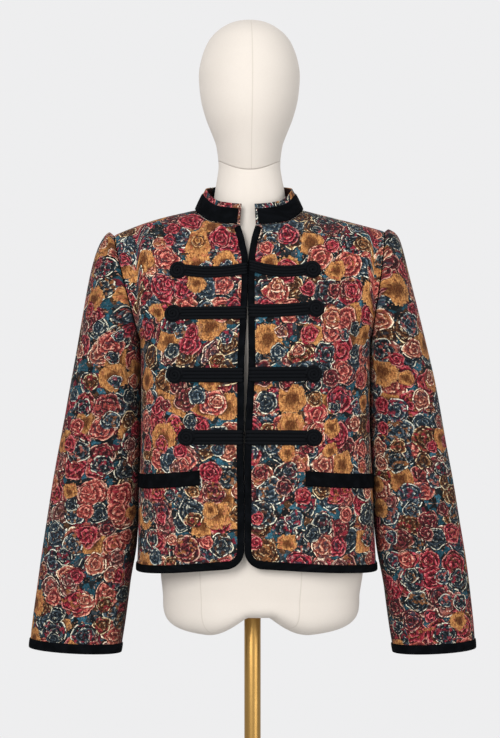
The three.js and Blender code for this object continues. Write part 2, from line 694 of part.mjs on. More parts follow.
// The binding runs down the front edge, round the lower corner and along the hem
function frontBinding(side) {
  const rows = [];
  const radius = CORNER_RADIUS;
  const neck = PANEL_ROWS.filter((v) => v <= V_NECK && v > heightToV(radius)).reverse();
  for (const v of neck) {
    const trimmed = v === V_NECK ? v - BINDING_END : v;
    rows.push([0, BINDING_WIDTH / 2, BINDING_WIDTH].map((a) => ({ v: trimmed, a })));
  }
  for (const t of steps(CORNER_STEPS)) {
    const a = (Math.PI / 2) * t;
    const width = lerp(BINDING_WIDTH, HEM_WIDTH, t);
    rows.push(
      [0, width / 2, width].map((inset) => ({
        v: heightToV(radius - (radius - inset) * Math.sin(a)),
        a: radius - (radius - inset) * Math.cos(a),
      })),
    );
  }
  for (const t of steps(FRONT_COLUMNS).slice(1)) {
    const insets = [0, HEM_WIDTH / 2, HEM_WIDTH].map(heightToV);
    rows.push(
      insets.map((v) => ({ v, a: lerp(radius, rowLength(side, "front", v) - SEAM, t) })),
    );
  }
  return piece(`binding_${side}`, stripOn(side, "front", rows, TRIM_LIFT, TRIM), "trim");
}

function backHemBand() {
  const points = [];
  const insets = [0, HEM_WIDTH / 2, HEM_WIDTH].map(heightToV);
  for (const v of insets) {
    const half = (side) =>
      steps(BACK_COLUMNS).map((t) => {
        const length = rowLength(side, "back", v) - SEAM;
        return panelOut(side, "back", v, acrossAt(side, "back", v, length * t), TRIM_LIFT + TRIM);
      });
    points.push(...half("left").slice(1).reverse(), ...half("right"));
  }
  const faces = gridFaces(insets.length, 2 * BACK_COLUMNS + 1);
  return piece("hem_band_back", wall(points, faces, TRIM, awayFrom(points, bodyMiddle)), "trim");
}

function welt(side) {
  const rows = [WELT.low, (WELT.low + WELT.high) / 2, WELT.high].map((v) => {
    const start = rowStart(side, "front", v);
    const from = Math.abs(SIDES[side].sign * WELT.start - start.x);
    const to = rowLength(side, "front", v) - WELT.end;
    return steps(WELT_STEPS).map((t) => ({ v, a: lerp(from, to, t) }));
  });
  return piece(`welt_${side}`, stripOn(side, "front", rows, WELT.lift, WELT.thick), "trim");
}

// The row and share across of the front panel at a place given from the front
function placeOnFront(side, x, z) {
  let low = 0.02;
  let high = 0.98;
  let across = 0;
  for (let i = 0; i < 40; i += 1) {
    const v = (low + high) / 2;
    const start = rowStart(side, "front", v);
    const end = rowEnd(side, "front", v);
    across = clamp01((x - start.x) / (end.x - start.x));
    if (panelPoint(side, "front", v, across).z < z) low = v;
    else high = v;
  }
  return { v: (low + high) / 2, across };
}

function onFront(side, x, z, out) {
  const { v, across } = placeOnFront(side, x, z);
  return panelOut(side, "front", v, across, out);
}

// Height of the under side of a frog over the panel: it climbs over the binding near the edge
function frogFoot(fromEdge) {
  return lerp(BAR.overTrim, TRIM_LIFT, smooth(BAR.rampFrom, BAR.rampTo, fromEdge));
}

function frogBar(side, row) {
  const { sign, bar } = SIDES[side];
  const { disc, mid, centre, half } = FROG_ROWS[side][row];
  const edgeX = rowStart(side, "front", placeOnFront(side, sign * 20, centre).v).x + sign * BAR.inset;
  const discX = sign * bar[row];
  const points = [];
  const inner = [];
  const across = 2 * BAR.cords;
  const length = Math.abs(discX - edgeX) - DISC_RADIUS;
  const stations = [0, BAR.rampFrom / length, BAR.rampTo / length, 0.5, 0.75, 1];
  for (const t of stations) {
    const curve = (1 - t) * (1 - t) * centre + 2 * t * (1 - t) * (2 * mid - (centre + disc) / 2);
    const middle = curve + t * t * disc;
    for (let k = 0; k <= across; k += 1) {
      const offset = half * (1 - (2 * k) / across);
      const stop = discX - sign * Math.sqrt((DISC_RADIUS + BAR.gap) ** 2 - offset * offset);
      const x = lerp(edgeX, stop, t);
      const foot = frogFoot(Math.abs(x - edgeX));
      const ridge = k % 2 === 1 ? BAR.ridge : 0;
      points.push(onFront(side, x, middle + offset, foot + BAR.base + ridge));
      inner.push(onFront(side, x, middle + offset, foot));
    }
  }
  const faces = gridFaces(stations.length, across + 1);
  return piece(`frog_${row + 1}_bar_${side}`, between(points, inner, faces), "cord");
}

// The coiled end of a frog: rings of cord over a plain under side
function frogCoil(side, row) {
  const { sign, bar } = SIDES[side];
  const { disc } = FROG_ROWS[side][row];
  const { rings } = COIL;
  const place = (radius, angle, out) =>
    onFront(
      side,
      sign * bar[row] + radius * Math.cos(angle),
      disc + radius * Math.sin(angle),
      TRIM_LIFT + out,
    );
  const points = [place(0, 0, COIL.middle)];
  const triangles = [];
  const turn = (k) => (2 * Math.PI * k) / DISC_AROUND;
  for (const { radius, rise } of rings) {
    for (let k = 0; k < DISC_AROUND; k += 1) points.push(place(radius * DISC_RADIUS, turn(k), rise));
  }
  const foot = points.length;
  for (let k = 0; k < DISC_AROUND; k += 1) points.push(place(DISC_RADIUS, turn(k), 0));
  points.push(place(0, 0, 0));
  for (let k = 0; k < DISC_AROUND; k += 1) {
    const d = (k + 1) % DISC_AROUND;
    triangles.push([0, 1 + k, 1 + d]);
    for (let r = 0; r < rings.length; r += 1) {
      const a = 1 + r * DISC_AROUND;
      const b = a + DISC_AROUND;
      triangles.push([a + k, b + k, b + d], [a + k, b + d, a + d]);
    }
    triangles.push([foot + k, foot + DISC_AROUND, foot + d]);
  }
  return piece(`frog_${row + 1}_coil_${side}`, geometryFrom(points, facingOut(points, triangles)), "cord");
}

// A ring's coordinate: 2 is an ellipse, less is nearer a diamond and more is nearer a box
const roundTo = (value, round) => Math.sign(value) * Math.pow(Math.abs(value), 2 / round);

// A solid of level rings, each with its own middle, half width, front and back
function ringed(rings, bottom, top) {
  const points = [];
  for (const ring of rings) {
    for (let k = 0; k < FORM_AROUND; k += 1) {
      const a = (2 * Math.PI * k) / FORM_AROUND;
      const middle = (ring.front + ring.back) / 2;
      const half = (ring.back - ring.front) / 2;
      const forward = Math.max(0, -Math.sin(a));
      const z = ring.level ? ring.level(a) : ring.z - ring.dip * forward * forward;
      const x = ring.x + ring.half * roundTo(Math.cos(a), ring.round);
      points.push(vec(x, middle + half * roundTo(Math.sin(a), ring.round), z));
    }
  }
  const triangles = gridFaces(rings.length, FORM_AROUND, true).flatMap(splitQuad);
  const low = points.length;
  points.push(bottom, top);
  const last = (rings.length - 1) * FORM_AROUND;
  for (let k = 0; k < FORM_AROUND; k += 1) {
    const d = (k + 1) % FORM_AROUND;
    triangles.push([low, d, k], [low + 1, last + k, last + d]);
  }
  return geometryFrom(points, facingOut(points, triangles));
}

function formHead() {
  const rings = HEAD.map((row) => ({ ...row, x: HEAD_X, round: 2 }));
  const seat = HEAD[0].z - HEAD[0].dip / 2;
  const bottom = vec(HEAD_X, HEAD_SEAT_Y, seat);
  return piece("form_head", ringed(rings, bottom, vec(HEAD_X, HEAD_TOP.y, HEAD_TOP.z)), "linen");
}

// The body of the form ends in two rounded lobes with a notch between them for the pole
function formBody() {
  const rings = [...FORM].reverse();
  const edge = rings[0];
  const lobes = [];
  const middleY = (edge.front + edge.back) / 2;
  const shares = LOBES.turns.map((t) => ({
    share: Math.cos(radians(t)) ** LOBES.square,
    down: Math.sin(radians(t)) ** LOBES.square,
  }));
  shares.push({ share: LOBES.flat / edge.half, down: 1 });
  for (const { share, down } of shares) {
    const half = edge.half * share;
    const x = lerp(LOBES.x, edge.x, share);
    const level = (a) => {
      const out = Math.max(0, Math.abs(half * Math.cos(a)) - LOBES.flat) / LOBES.reach;
      const lobe = Math.pow(Math.sin((Math.PI / 2) * Math.min(1, out)), LOBES.power);
      return edge.z - (edge.z - LOBES.notchZ + LOBES.drop * lobe) * down;
    };
    const front = Math.min(lerp(middleY, edge.front, share), middleY - LOBES.flat);
    const back = Math.max(lerp(middleY, edge.back, share), middleY + LOBES.flat);
    lobes.unshift({ x, half, front, back, level, round: edge.round });
  }
  const seat = FORM[0].z - FORM[0].dip / 2;
  const bottom = vec(LOBES.x, middleY, LOBES.notchZ);
  return piece("form_body", ringed([...lobes, ...rings], bottom, vec(HEAD_X, HEAD_SEAT_Y, seat)), "linen");
}

function upright(profile) {
  const geometry = new THREE.LatheGeometry(profile.map(([r, z]) => new THREE.Vector2(r, z)), PLATE_AROUND);
  geometry.rotateX(Math.PI / 2);
  return geometry;
}

function pole() {
  const foot = BASE.thick + JOINT;
  const head = LOBES.notchZ - JOINT;
  const geometry = new THREE.CylinderGeometry(POLE_RADIUS, POLE_RADIUS, head - foot, POLE_AROUND);
  geometry.rotateX(Math.PI / 2);
  const mesh = piece("pole", geometry, "brass");
  mesh.position.z = (head + foot) / 2;
  return mesh;
}

function basePlate() {
  const { radius, thick, edge } = BASE;
  const profile = [[0, 0], [radius, 0], [radius, thick - edge], [radius - edge, thick], [0, thick]];
  return piece("base_plate", upright(profile), "brass");
}

function poleSocket() {
  const inner = POLE_RADIUS + SOCKET.clear;
  const low = BASE.thick + JOINT;
  const high = low + SOCKET.height;
  const profile = [
    [inner, low],
    [SOCKET.radius, low],
    [SOCKET.radius, high - SOCKET.edge],
    [SOCKET.radius - SOCKET.edge, high],
    [inner, high],
    [inner, low],
  ];
  return piece("pole_socket", upright(profile), "brass");
}

function build() {
  const group = new THREE.Group();
  group.add(basePlate(), poleSocket(), pole(), formBody(), formHead());
  for (const side of ["left", "right"]) {
    group.add(frontPanel(side), sleeve(side), frontBinding(side), cuffBand(side), welt(side));
    for (const row of FROG_ROWS[side].keys()) group.add(frogBar(side, row), frogCoil(side, row));
  }
  group.add(backPanel(), backHemBand(), collar(), collarBand());
  return group;
}

export default build();
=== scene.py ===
"""Looks of a rose jacquard jacket with black bound edges and frog fastenings, on a dress form."""
import logging
import math
from dataclasses import dataclass
from enum import Enum
from typing import Dict, List, Optional, Sequence, Tuple, Union

import bpy
import numpy as np
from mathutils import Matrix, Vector


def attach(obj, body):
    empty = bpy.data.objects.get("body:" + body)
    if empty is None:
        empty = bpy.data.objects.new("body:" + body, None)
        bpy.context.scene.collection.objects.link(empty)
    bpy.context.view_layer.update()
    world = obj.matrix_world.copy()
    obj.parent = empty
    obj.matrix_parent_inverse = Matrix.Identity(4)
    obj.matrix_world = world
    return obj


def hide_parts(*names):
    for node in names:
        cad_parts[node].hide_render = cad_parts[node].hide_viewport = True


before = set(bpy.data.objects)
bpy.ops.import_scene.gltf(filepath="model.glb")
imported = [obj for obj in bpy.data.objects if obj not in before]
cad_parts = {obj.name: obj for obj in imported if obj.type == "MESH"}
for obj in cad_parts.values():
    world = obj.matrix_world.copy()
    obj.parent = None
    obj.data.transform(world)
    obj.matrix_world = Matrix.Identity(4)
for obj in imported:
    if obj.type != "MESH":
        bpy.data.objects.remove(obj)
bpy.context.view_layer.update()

Array = np.ndarray
Number = Union[float, Array]

LOG = logging.getLogger("jacket")
MM = 0.001
BODY = "root"


class Side(Enum):
    """A side of the jacket, as the viewer sees it."""

    LEFT = "left"
    RIGHT = "right"

    @property
    def sign(self) -> float:
        """Minus for the viewer's left."""
        return -1.0 if self is Side.LEFT else 1.0


class Face(Enum):
    """The half of the jacket that a panel covers."""

    FRONT = "front"
    BACK = "back"


class Slot(Enum):
    """The record's material slots."""

    JACQUARD = "jacquard"
    TRIM = "trim"
    CORD = "cord"
    LINEN = "linen"
    BRASS = "brass"


class Held(Enum):
    """How a sheet of cloth is held up."""

    HUNG = "hung"
    GATHERED = "gathered"


def lerp(a: Number, b: Number, t: Number) -> Number:
    """A value between two others."""
    return a + (b - a) * t


def clamp(t: Number) -> Number:
    """A share kept from 0 to 1."""
    return np.clip(t, 0.0, 1.0)


def smooth(low: float, high: float, t: Number) -> Number:
    """A soft step from 0 to 1 between two values."""
    s = clamp((np.asarray(t, dtype=float) - low) / (high - low))
    return s * s * (3.0 - 2.0 * s)


def stack(x: Number, y: Number, z: Number) -> Array:
    """Points from their three coordinates, spread to one shape."""
    return np.stack(np.broadcast_arrays(x, y, z), axis=-1).astype(float)


def unit(vectors: Array) -> Array:
    """Vectors at length one."""
    length = np.linalg.norm(vectors, axis=-1, keepdims=True)
    return vectors / np.maximum(length, 1e-9)


def pairs(x: Number, y: Number) -> Array:
    """Places on a flat cut from their two coordinates, spread to one shape."""
    return np.stack(np.broadcast_arrays(x, y), axis=-1)


def together(*values: Number) -> List[Array]:
    """Numbers spread to one shape, as arrays."""
    return [np.asarray(value, dtype=float) for value in np.broadcast_arrays(*values)]


def running(steps: Array, axis: int) -> Array:
    """Steps added up along an axis, starting from nought."""
    nought = np.zeros_like(np.take(steps, [0], axis=axis))
    return np.concatenate([nought, np.cumsum(steps, axis=axis)], axis=axis)


def between(table: Array, row: Array, column: Array) -> Array:
    """A table's values at places between its rows and columns.

    Args:
        table: the values, by row and column.
        row: the rows, with their fractions.
        column: the columns, with their fractions.

    Returns:
        The value at each place.
    """
    i = np.minimum(row.astype(int), table.shape[0] - 2)
    k = np.minimum(column.astype(int), table.shape[1] - 2)
    low = lerp(table[i, k], table[i, k + 1], column - k)
    high = lerp(table[i + 1, k], table[i + 1, k + 1], column - k)
    return lerp(low, high, row - i)


def pillow(share: Array, edge: float) -> Array:
    """The rounded height across a padded strip, from 0 at its edges to 1."""
    return np.minimum(1.0, np.minimum(share, 1.0 - share) / edge) ** 0.5


def graded(count: int, crowd: float) -> Array:
    """Shares from 0 to 1 that stand closer together at both ends.

    Args:
        count: the number of steps.
        crowd: 0 for even steps, up to 0.9 for very close ends.

    Returns:
        The shares, one more than the steps.
    """
    t = np.linspace(0.0, 1.0, count + 1)
    return t - crowd * np.sin(2.0 * math.pi * t) / (2.0 * math.pi)


class Table:
    """Rows of named numbers, read as smooth columns."""

    def __init__(self, key: str, names: str, rows: Sequence[Sequence[float]]) -> None:
        """Keeps the rows as named columns.

        Args:
            key: the column that the others are read along.
            names: the names of the columns, parted by spaces.
            rows: the numbers, one row for each place.
        """
        values = np.array(rows, dtype=float)
        self.key = key
        self.rows = [list(row) for row in rows]
        self.columns = {name: values[:, i] for i, name in enumerate(names.split())}

    def with_row(self, **row: float) -> "Table":
        """A copy with one more row at the end."""
        names = list(self.columns)
        extra = [float(row.get(name, 0.0)) for name in names]
        return Table(self.key, " ".join(names), self.rows + [extra])

    def at(self, name: str, where: Number) -> Array:
        """A column's value at places along the key.

        Args:
            name: the column.
            where: one place or an array of them.

        Returns:
            The values, smooth through every row.
        """
        x = self.columns[self.key]
        y = self.columns[name]
        last = len(x) - 1
        order = np.arange(last + 1)
        before = np.maximum(order - 1, 0)
        after = np.minimum(order + 1, last)
        slope = (y[after] - y[before]) / (x[after] - x[before])
        where = np.asarray(where, dtype=float)
        i = np.clip(np.searchsorted(x, where, side="right") - 1, 0, last - 1)
        span = x[i + 1] - x[i]
        t = clamp((where - x[i]) / span)
        t2 = t * t
        t3 = t2 * t
        start = (2.0 * t3 - 3.0 * t2 + 1.0) * y[i] + (t3 - 2.0 * t2 + t) * span * slope[i]
        return start + (3.0 * t2 - 2.0 * t3) * y[i + 1] + (t3 - t2) * span * slope[i + 1]


@dataclass(frozen=True)
class BodySizes:
    """Heights and edges of the jacket's body, in millimetres."""

    hem_front: float = 891.0
    hem_side: float = 877.5
    hem_back: float = 875.0
    underarm: float = 1222.0
    side_y: float = 4.0
    v_underarm: float = 0.55
    v_neck: float = 0.78
    v_shoulder: float = 0.9993
    v_open_below: float = 0.02
    v_open_above: float = 0.2
    corner: float = 25.0
    roundness: float = 2.7
    open_power: float = 0.9
    rim_fade: float = 0.05
    middle_above: float = 40.0
    seam: float = 0.5
    cloth: float = 1.8


@dataclass(frozen=True)
class NeckSizes:
    """The neckline, a loop that rises from the front to the back, in millimetres."""

    x: float = -5.0
    y: float = -8.0
    half: float = 80.0
    front: float = 72.0
    back: float = 70.0


@dataclass(frozen=True)
class SideSizes:
    """One side's shoulder tip, underarm and frog lengths, in millimetres."""

    tip_x: float
    tip_z: float
    under_x: float
    neck_angle: float
    bulge: float
    bars: Tuple[float, ...]


@dataclass(frozen=True)
class ArmholeSizes:
    """How far the armhole reaches to the front and the back, in millimetres."""

    y: float = 2.0
    front: float = 64.0
    back: float = 67.0


@dataclass(frozen=True)
class Crease:
    """One crease of the cloth, from one place on the flat cut to another, in millimetres."""

    x0: float
    z0: float
    x1: float
    z1: float
    width: float
    rise: float
    shoulder: float = 0.4


@dataclass(frozen=True)
class CreaseProfile:
    """How every crease bends, fades at both ends and has a low ridge beside it."""

    bend: float = 0.35
    bend_waves: float = 2.6
    fade: float = 0.8
    ridge_at: float = 1.7
    ridge_width: float = 1.2


@dataclass(frozen=True)
class Ripple:
    """The small unevenness of a cloth: its height and four wavelengths, in millimetres."""

    height: float
    waves: Tuple[float, float, float, float]

    def at(self, up: Array, beside: Array) -> Array:
        """The rise at places up and beside on the cut."""
        one, two, three, four = self.waves
        return self.height * (np.sin(up / one + beside / two) * np.sin(beside / three - up / four))


@dataclass(frozen=True)
class SeamSizes:
    """How cloth calms down beside its seams and sinks into them, in millimetres, rows and rings."""

    calm_side: float = 14.0
    calm_edge: float = 10.0
    calm_shoulder: float = 0.03
    sunk_side: float = 2.2
    sunk_shoulder: float = 0.0042
    sunk_armhole: float = 0.05
    depth: float = 0.8


@dataclass(frozen=True)
class Fold:
    """A large soft fold of a panel that the frame has as well."""

    along: float
    across: float
    reach_along: float
    reach_across: float
    rise: float


NECK = NeckSizes()
BODY_SIZES = BodySizes()
ARMHOLE = ArmholeSizes()
CREASE = CreaseProfile()
SEAM = SeamSizes()
BODY_RIPPLE = Ripple(0.45, (31.0, 47.0, 23.0, 61.0))
SLEEVE_RIPPLE = Ripple(0.5, (29.0, 41.0, 27.0, 67.0))
NECK_RISE = Table("angle", "angle z", [
    (0, 1385.5), (15, 1386.3), (30, 1388.5), (45, 1392.2), (60, 1400), (75, 1408.4),
    (90, 1413.2), (135, 1420.5), (180, 1424),
])
SIDES = {
    Side.LEFT: SideSizes(-207.0, 1377.0, -168.0, 9.8, 4.4, (108.0, 114.0, 111.0, 94.0)),
    Side.RIGHT: SideSizes(197.7, 1382.8, 176.5, 7.0, 0.6, (86.5, 91.0, 87.0, 86.5)),
}
SIDE_SEAM = Table("z", "z left right", [
    (860, -172.4, 185.4), (950, -170.5, 182), (1019, -168.5, 179), (1100, -166.8, 175.6),
    (1190, -166.8, 175.2), (1222, -168, 176.5),
])
FRONT_EDGE = Table("z", "z left right y", [
    (880, -12.6, -11.2, -112), (1000, -12.8, -11, -116), (1062, -13.6, -10.9, -119),
    (1116, -12.8, -8.8, -121), (1189, -12.4, -5.6, -122), (1240, -9.6, -6, -119),
    (1290, -7.7, -6.1, -110), (1340, -7.4, -5.2, -96), (1357, -10.9, -2.8, -90.2),
    (1372, -14.2, 0.4, -84.6),
])
BACK_LINE = Table("z", "z x y", [
    (860, 6.5, 109), (950, 5, 103), (1050, 3, 96), (1150, 1, 95), (1250, -2, 101),
    (1320, -4, 99), (1380, -5, 84),
])
FOLDS = {
    (Face.FRONT, Side.LEFT): (
        Fold(0.6, 0.9, 0.09, 0.07, -5.0), Fold(0.6, 0.76, 0.1, 0.08, 2.5),
        Fold(0.1, 0.62, 0.22, 0.13, 3.0), Fold(0.08, 0.38, 0.2, 0.1, -2.5),
    ),
    (Face.FRONT, Side.RIGHT): (
        Fold(0.6, 0.9, 0.08, 0.07, -4.0), Fold(0.1, 0.55, 0.24, 0.12, 3.0),
        Fold(0.1, 0.8, 0.2, 0.08, -2.5),
    ),
    (Face.BACK, Side.LEFT): (
        Fold(0.62, 0.86, 0.12, 0.08, -5.0), Fold(0.08, 0.5, 0.3, 0.14, 4.0),
    ),
    (Face.BACK, Side.RIGHT): (
        Fold(0.62, 0.86, 0.12, 0.08, -4.5), Fold(0.06, 0.62, 0.26, 0.12, 4.5),
        Fold(0.1, 0.2, 0.3, 0.12, -4.0),
    ),
}


def neck_point(sign: float, angle: Number) -> Array:
    """Points of the neckline.

    Args:
        sign: the side, minus for the viewer's left.
        angle: degrees from the front.

    Returns:
        The points, in millimetres.
    """
    a = np.radians(np.asarray(angle, dtype=float))
    reach = np.where(np.cos(a) > 0.0, NECK.front, NECK.back)
    x = NECK.x + sign * NECK.half * np.sin(a)
    return stack(x, NECK.y - reach * np.cos(a), NECK_RISE.at("z", angle))


def body_middle(points: Array) -> Array:
    """The body's middle line beside each point, from which outwards is told."""
    high = np.minimum(points[..., 2], BODY_SIZES.underarm + BODY_SIZES.middle_above)
    return stack(NECK.x, 0.0, high)


def crease_rise(creases: Sequence[Crease], x: Array, z: Array) -> Array:
    """How far the creases lift or sink the cloth.

    Args:
        creases: the creases of this cut.
        x: places across the flat cut, in millimetres.
        z: places up the flat cut, in millimetres.

    Returns:
        The rise at each place, minus for a trough.
    """
    rise = np.zeros(np.broadcast(x, z).shape)
    for crease in creases:
        run = np.array([crease.x1 - crease.x0, crease.z1 - crease.z0])
        length = float(np.linalg.norm(run))
        ahead = run / length
        dx = x - crease.x0
        dz = z - crease.z0
        t = (dx * ahead[0] + dz * ahead[1]) / length
        beside = (dz * ahead[0] - dx * ahead[1]) / crease.width
        bend = beside - CREASE.bend * np.sin(CREASE.bend_waves * math.pi * clamp(t))
        fade = np.sin(math.pi * clamp(t)) ** CREASE.fade
        low = np.exp(-(((bend - CREASE.ridge_at) / CREASE.ridge_width) ** 2))
        rise = rise + crease.rise * fade * (np.exp(-bend * bend) - crease.shoulder * low)
    return rise


class Panel:
    """The outer surface of one side of the front or the back, in millimetres."""

    ROWS = 240
    SHARES = 128
    FLAT_X = 70
    FLAT_Z = 60
    FLAT_FROM = 1170.0
    FLAT_TO = 1428.0
    FLAT_BLEND = 70.0
    FLAT_BEFORE = 16.0
    FLAT_PAST = 6.0
    STEEPEST = 3.0
    WIDE_ROWS = (0.2, 0.55, 1.0)
    STEP_ACROSS = 0.8
    STEP_UP = 0.002
    LOWEST = 0.02
    HALVINGS = 34
    FINE = 61

    def __init__(self, side: Side, face: Face, creases: Sequence[Crease]) -> None:
        """Prepares the edges and the table of lengths.

        Args:
            side: the side of the jacket.
            face: front or back.
            creases: creases, by the length across and the height.
        """
        self.side = side
        self.face = face
        self.sizes = SIDES[side]
        self.creases = tuple(creases)
        self.folds = FOLDS[(face, side)]
        first = self.sizes.neck_angle if face is Face.FRONT else 180.0
        self.first_angle = first
        self.top = neck_point(side.sign, first)
        if face is Face.FRONT:
            row = {"z": self.top[2], side.value: self.top[0], "y": self.top[1]}
            self.edge = FRONT_EDGE.with_row(**row)
            self.edge_x = side.value
            self.hem = BODY_SIZES.hem_front
        else:
            self.edge = BACK_LINE.with_row(z=self.top[2], x=self.top[0], y=self.top[1])
            self.edge_x = "x"
            self.hem = BODY_SIZES.hem_back
        self._measure()
        self._develop()

    def start(self, v: Array) -> Array:
        """Where rows start: on the front edge or the middle of the back, then the neckline."""
        z = lerp(self.hem, self.top[2], v / BODY_SIZES.v_neck)
        low = stack(self.edge.at(self.edge_x, z), self.edge.at("y", z), z)
        t = clamp((v - BODY_SIZES.v_neck) / (1.0 - BODY_SIZES.v_neck))
        high = neck_point(self.side.sign, lerp(self.first_angle, 90.0, t))
        return np.where((v > BODY_SIZES.v_neck)[..., None], high, low)

    def end(self, v: Array) -> Array:
        """Where rows end: on the side seam, then the armhole."""
        b = BODY_SIZES
        z = lerp(b.hem_side, b.underarm, clamp(v / b.v_underarm))
        low = stack(SIDE_SEAM.at(self.side.value, z), b.side_y, z)
        angle = np.radians(180.0 * clamp((v - b.v_underarm) / (1.0 - b.v_underarm)))
        rise = (1.0 - np.cos(angle)) / 2.0
        reach = -ARMHOLE.front if self.face is Face.FRONT else ARMHOLE.back
        y = lerp(b.side_y, ARMHOLE.y, rise) + reach * np.sin(angle)
        x = lerp(self.sizes.under_x, self.sizes.tip_x, rise)
        high = stack(x, y, lerp(b.underarm, self.sizes.tip_z, rise))
        return np.where((v > b.v_underarm)[..., None], high, low)

    def base(self, v: Array, across: Array) -> Array:
        """Points by row and share across, as the frame has them."""
        b = BODY_SIZES
        start = self.start(v)
        end = self.end(v)
        opened = smooth(b.v_underarm - b.v_open_below, b.v_underarm + b.v_open_above, v)
        power = lerp(1.0 / b.roundness, b.open_power, opened)
        fall = np.maximum(0.0, 1.0 - across ** b.roundness) ** power
        pad = self.sizes.bulge * np.sin(math.pi * across) * smooth(b.v_neck, 1.0, v)
        x = lerp(start[..., 0], end[..., 0], across)
        y = end[..., 1] + (start[..., 1] - end[..., 1]) * fall
        z = lerp(start[..., 2], end[..., 2], across) + pad
        points = stack(x, y, z)
        rise = np.zeros(x.shape)
        for fold in self.folds:
            dv = (v - fold.along) / fold.reach_along
            da = (across - fold.across) / fold.reach_across
            rise = rise + fold.rise * np.exp(-dv * dv - da * da)
        rise = rise * smooth(0.0, b.rim_fade, 1.0 - across) * smooth(0.0, b.rim_fade, 1.0 - v)
        return points + unit(points - body_middle(points)) * rise[..., None]

    def _measure(self) -> None:
        """Fills the tables that turn a length across a row into a share across."""
        v = np.linspace(0.0, 1.0, self.ROWS + 1)
        shares = np.sin(np.linspace(0.0, math.pi / 2.0, self.SHARES + 1))
        grid_v, grid_a = np.meshgrid(v, shares, indexing="ij")
        points = self.base(grid_v, grid_a)
        run = running(np.linalg.norm(np.diff(points, axis=1), axis=-1), 1)
        self.lengths = run[:, -1]
        even = np.linspace(0.0, 1.0, self.SHARES + 1)
        self.inverse = np.array([np.interp(even, row / row[-1], shares) for row in run])

    def _develop(self) -> None:
        """Fills the tables that lay the chest and shoulder out flat."""
        ends = self.end(np.array(self.WIDE_ROWS))[:, 0]
        reach = float(np.max(np.abs(ends))) + self.FLAT_PAST
        self.flat_x = self.side.sign * np.linspace(-self.FLAT_BEFORE, reach, self.FLAT_X)
        self.flat_z = np.linspace(self.FLAT_FROM, self.FLAT_TO, self.FLAT_Z)
        grid_x, grid_z = np.meshgrid(self.flat_x, self.flat_z, indexing="ij")
        v, s = self.row_of(grid_x, grid_z, 1.0)
        depth = self.base(v, self.across(v, s))[..., 1]
        dz = np.diff(self.flat_z)[None, :]
        self.flat_up = self.FLAT_FROM + running(np.hypot(dz, np.diff(depth, axis=1)), 1)
        dx = np.abs(np.diff(self.flat_x))[:, None]
        run = np.hypot(dx, np.minimum(np.abs(np.diff(depth, axis=0)), self.STEEPEST * dx))
        self.flat_run = running(run, 0) - self.FLAT_BEFORE

    def flat(self, v: Array, s: Array) -> Array:
        """The place on the flat cut: out from the middle and up, in millimetres.

        Args:
            v: rows.
            s: lengths across.

        Returns:
            The places, with the sign of the side.
        """
        points = self.base(v, self.across(v, s))
        x = (points[..., 0] - self.flat_x[0]) / (self.flat_x[1] - self.flat_x[0])
        z = (points[..., 2] - self.flat_z[0]) / (self.flat_z[1] - self.flat_z[0])
        x = np.clip(x, 0.0, self.FLAT_X - 1.001)
        z = np.clip(z, 0.0, self.FLAT_Z - 1.001)
        share = smooth(self.FLAT_FROM, self.FLAT_FROM + self.FLAT_BLEND, points[..., 2])
        run = lerp(s, between(self.flat_run, x, z), share)
        up = np.where(points[..., 2] > self.FLAT_FROM, between(self.flat_up, x, z), points[..., 2])
        return pairs(self.side.sign * run, up)

    def length(self, v: Array) -> Array:
        """The length of rows, from their start to their end."""
        return np.interp(v, np.linspace(0.0, 1.0, self.ROWS + 1), self.lengths)

    def across(self, v: Array, s: Array) -> Array:
        """The share across rows at a length along them."""
        share = clamp(s / self.length(v)) * self.SHARES
        return between(self.inverse, clamp(v) * self.ROWS, share)

    def creased(self, v: Array, s: Array) -> Array:
        """Points by row and length across, with the creases."""
        v, s = np.broadcast_arrays(v, s)
        points = self.base(v, self.across(v, s))
        length = self.length(v)
        rise = crease_rise(self.creases, s, points[..., 2]) + BODY_RIPPLE.at(points[..., 2], s)
        rise = rise * smooth(0.0, SEAM.calm_side, length - s) * smooth(0.0, SEAM.calm_edge, s)
        rise = rise * smooth(0.0, SEAM.calm_shoulder, 1.0 - v)
        side = np.exp(-(((length - s) / SEAM.sunk_side) ** 2))
        shoulder = np.exp(-(((1.0 - v) / SEAM.sunk_shoulder) ** 2))
        rise = rise - SEAM.depth * np.minimum(1.0, side + shoulder)
        return points + unit(points - body_middle(points)) * rise[..., None]

    def at(self, v: Number, s: Number, out: Number = 0.0) -> Array:
        """Points on or off the surface.

        Args:
            v: rows, from 0 at the hem to 1 at the shoulder.
            s: lengths across, in millimetres; below 0 runs on past the edge.
            out: how far off the surface.

        Returns:
            The points, in millimetres.
        """
        v, s, out = together(v, s, out)
        inside = np.maximum(s, 0.0)
        points = self.creased(v, inside)
        behind = self.creased(v, np.maximum(inside - self.STEP_ACROSS, 0.0))
        ahead = self.creased(v, inside + self.STEP_ACROSS) - behind
        below = self.creased(clamp(v - self.STEP_UP), inside)
        up = self.creased(clamp(v + self.STEP_UP), inside) - below
        normal = unit(np.cross(ahead, up))
        facing = np.sum(normal * (points - body_middle(points)), axis=-1, keepdims=True)
        normal = np.where(facing < 0.0, -normal, normal)
        past = np.minimum(s, 0.0)[..., None] * unit(ahead)
        return points + past + normal * out[..., None]

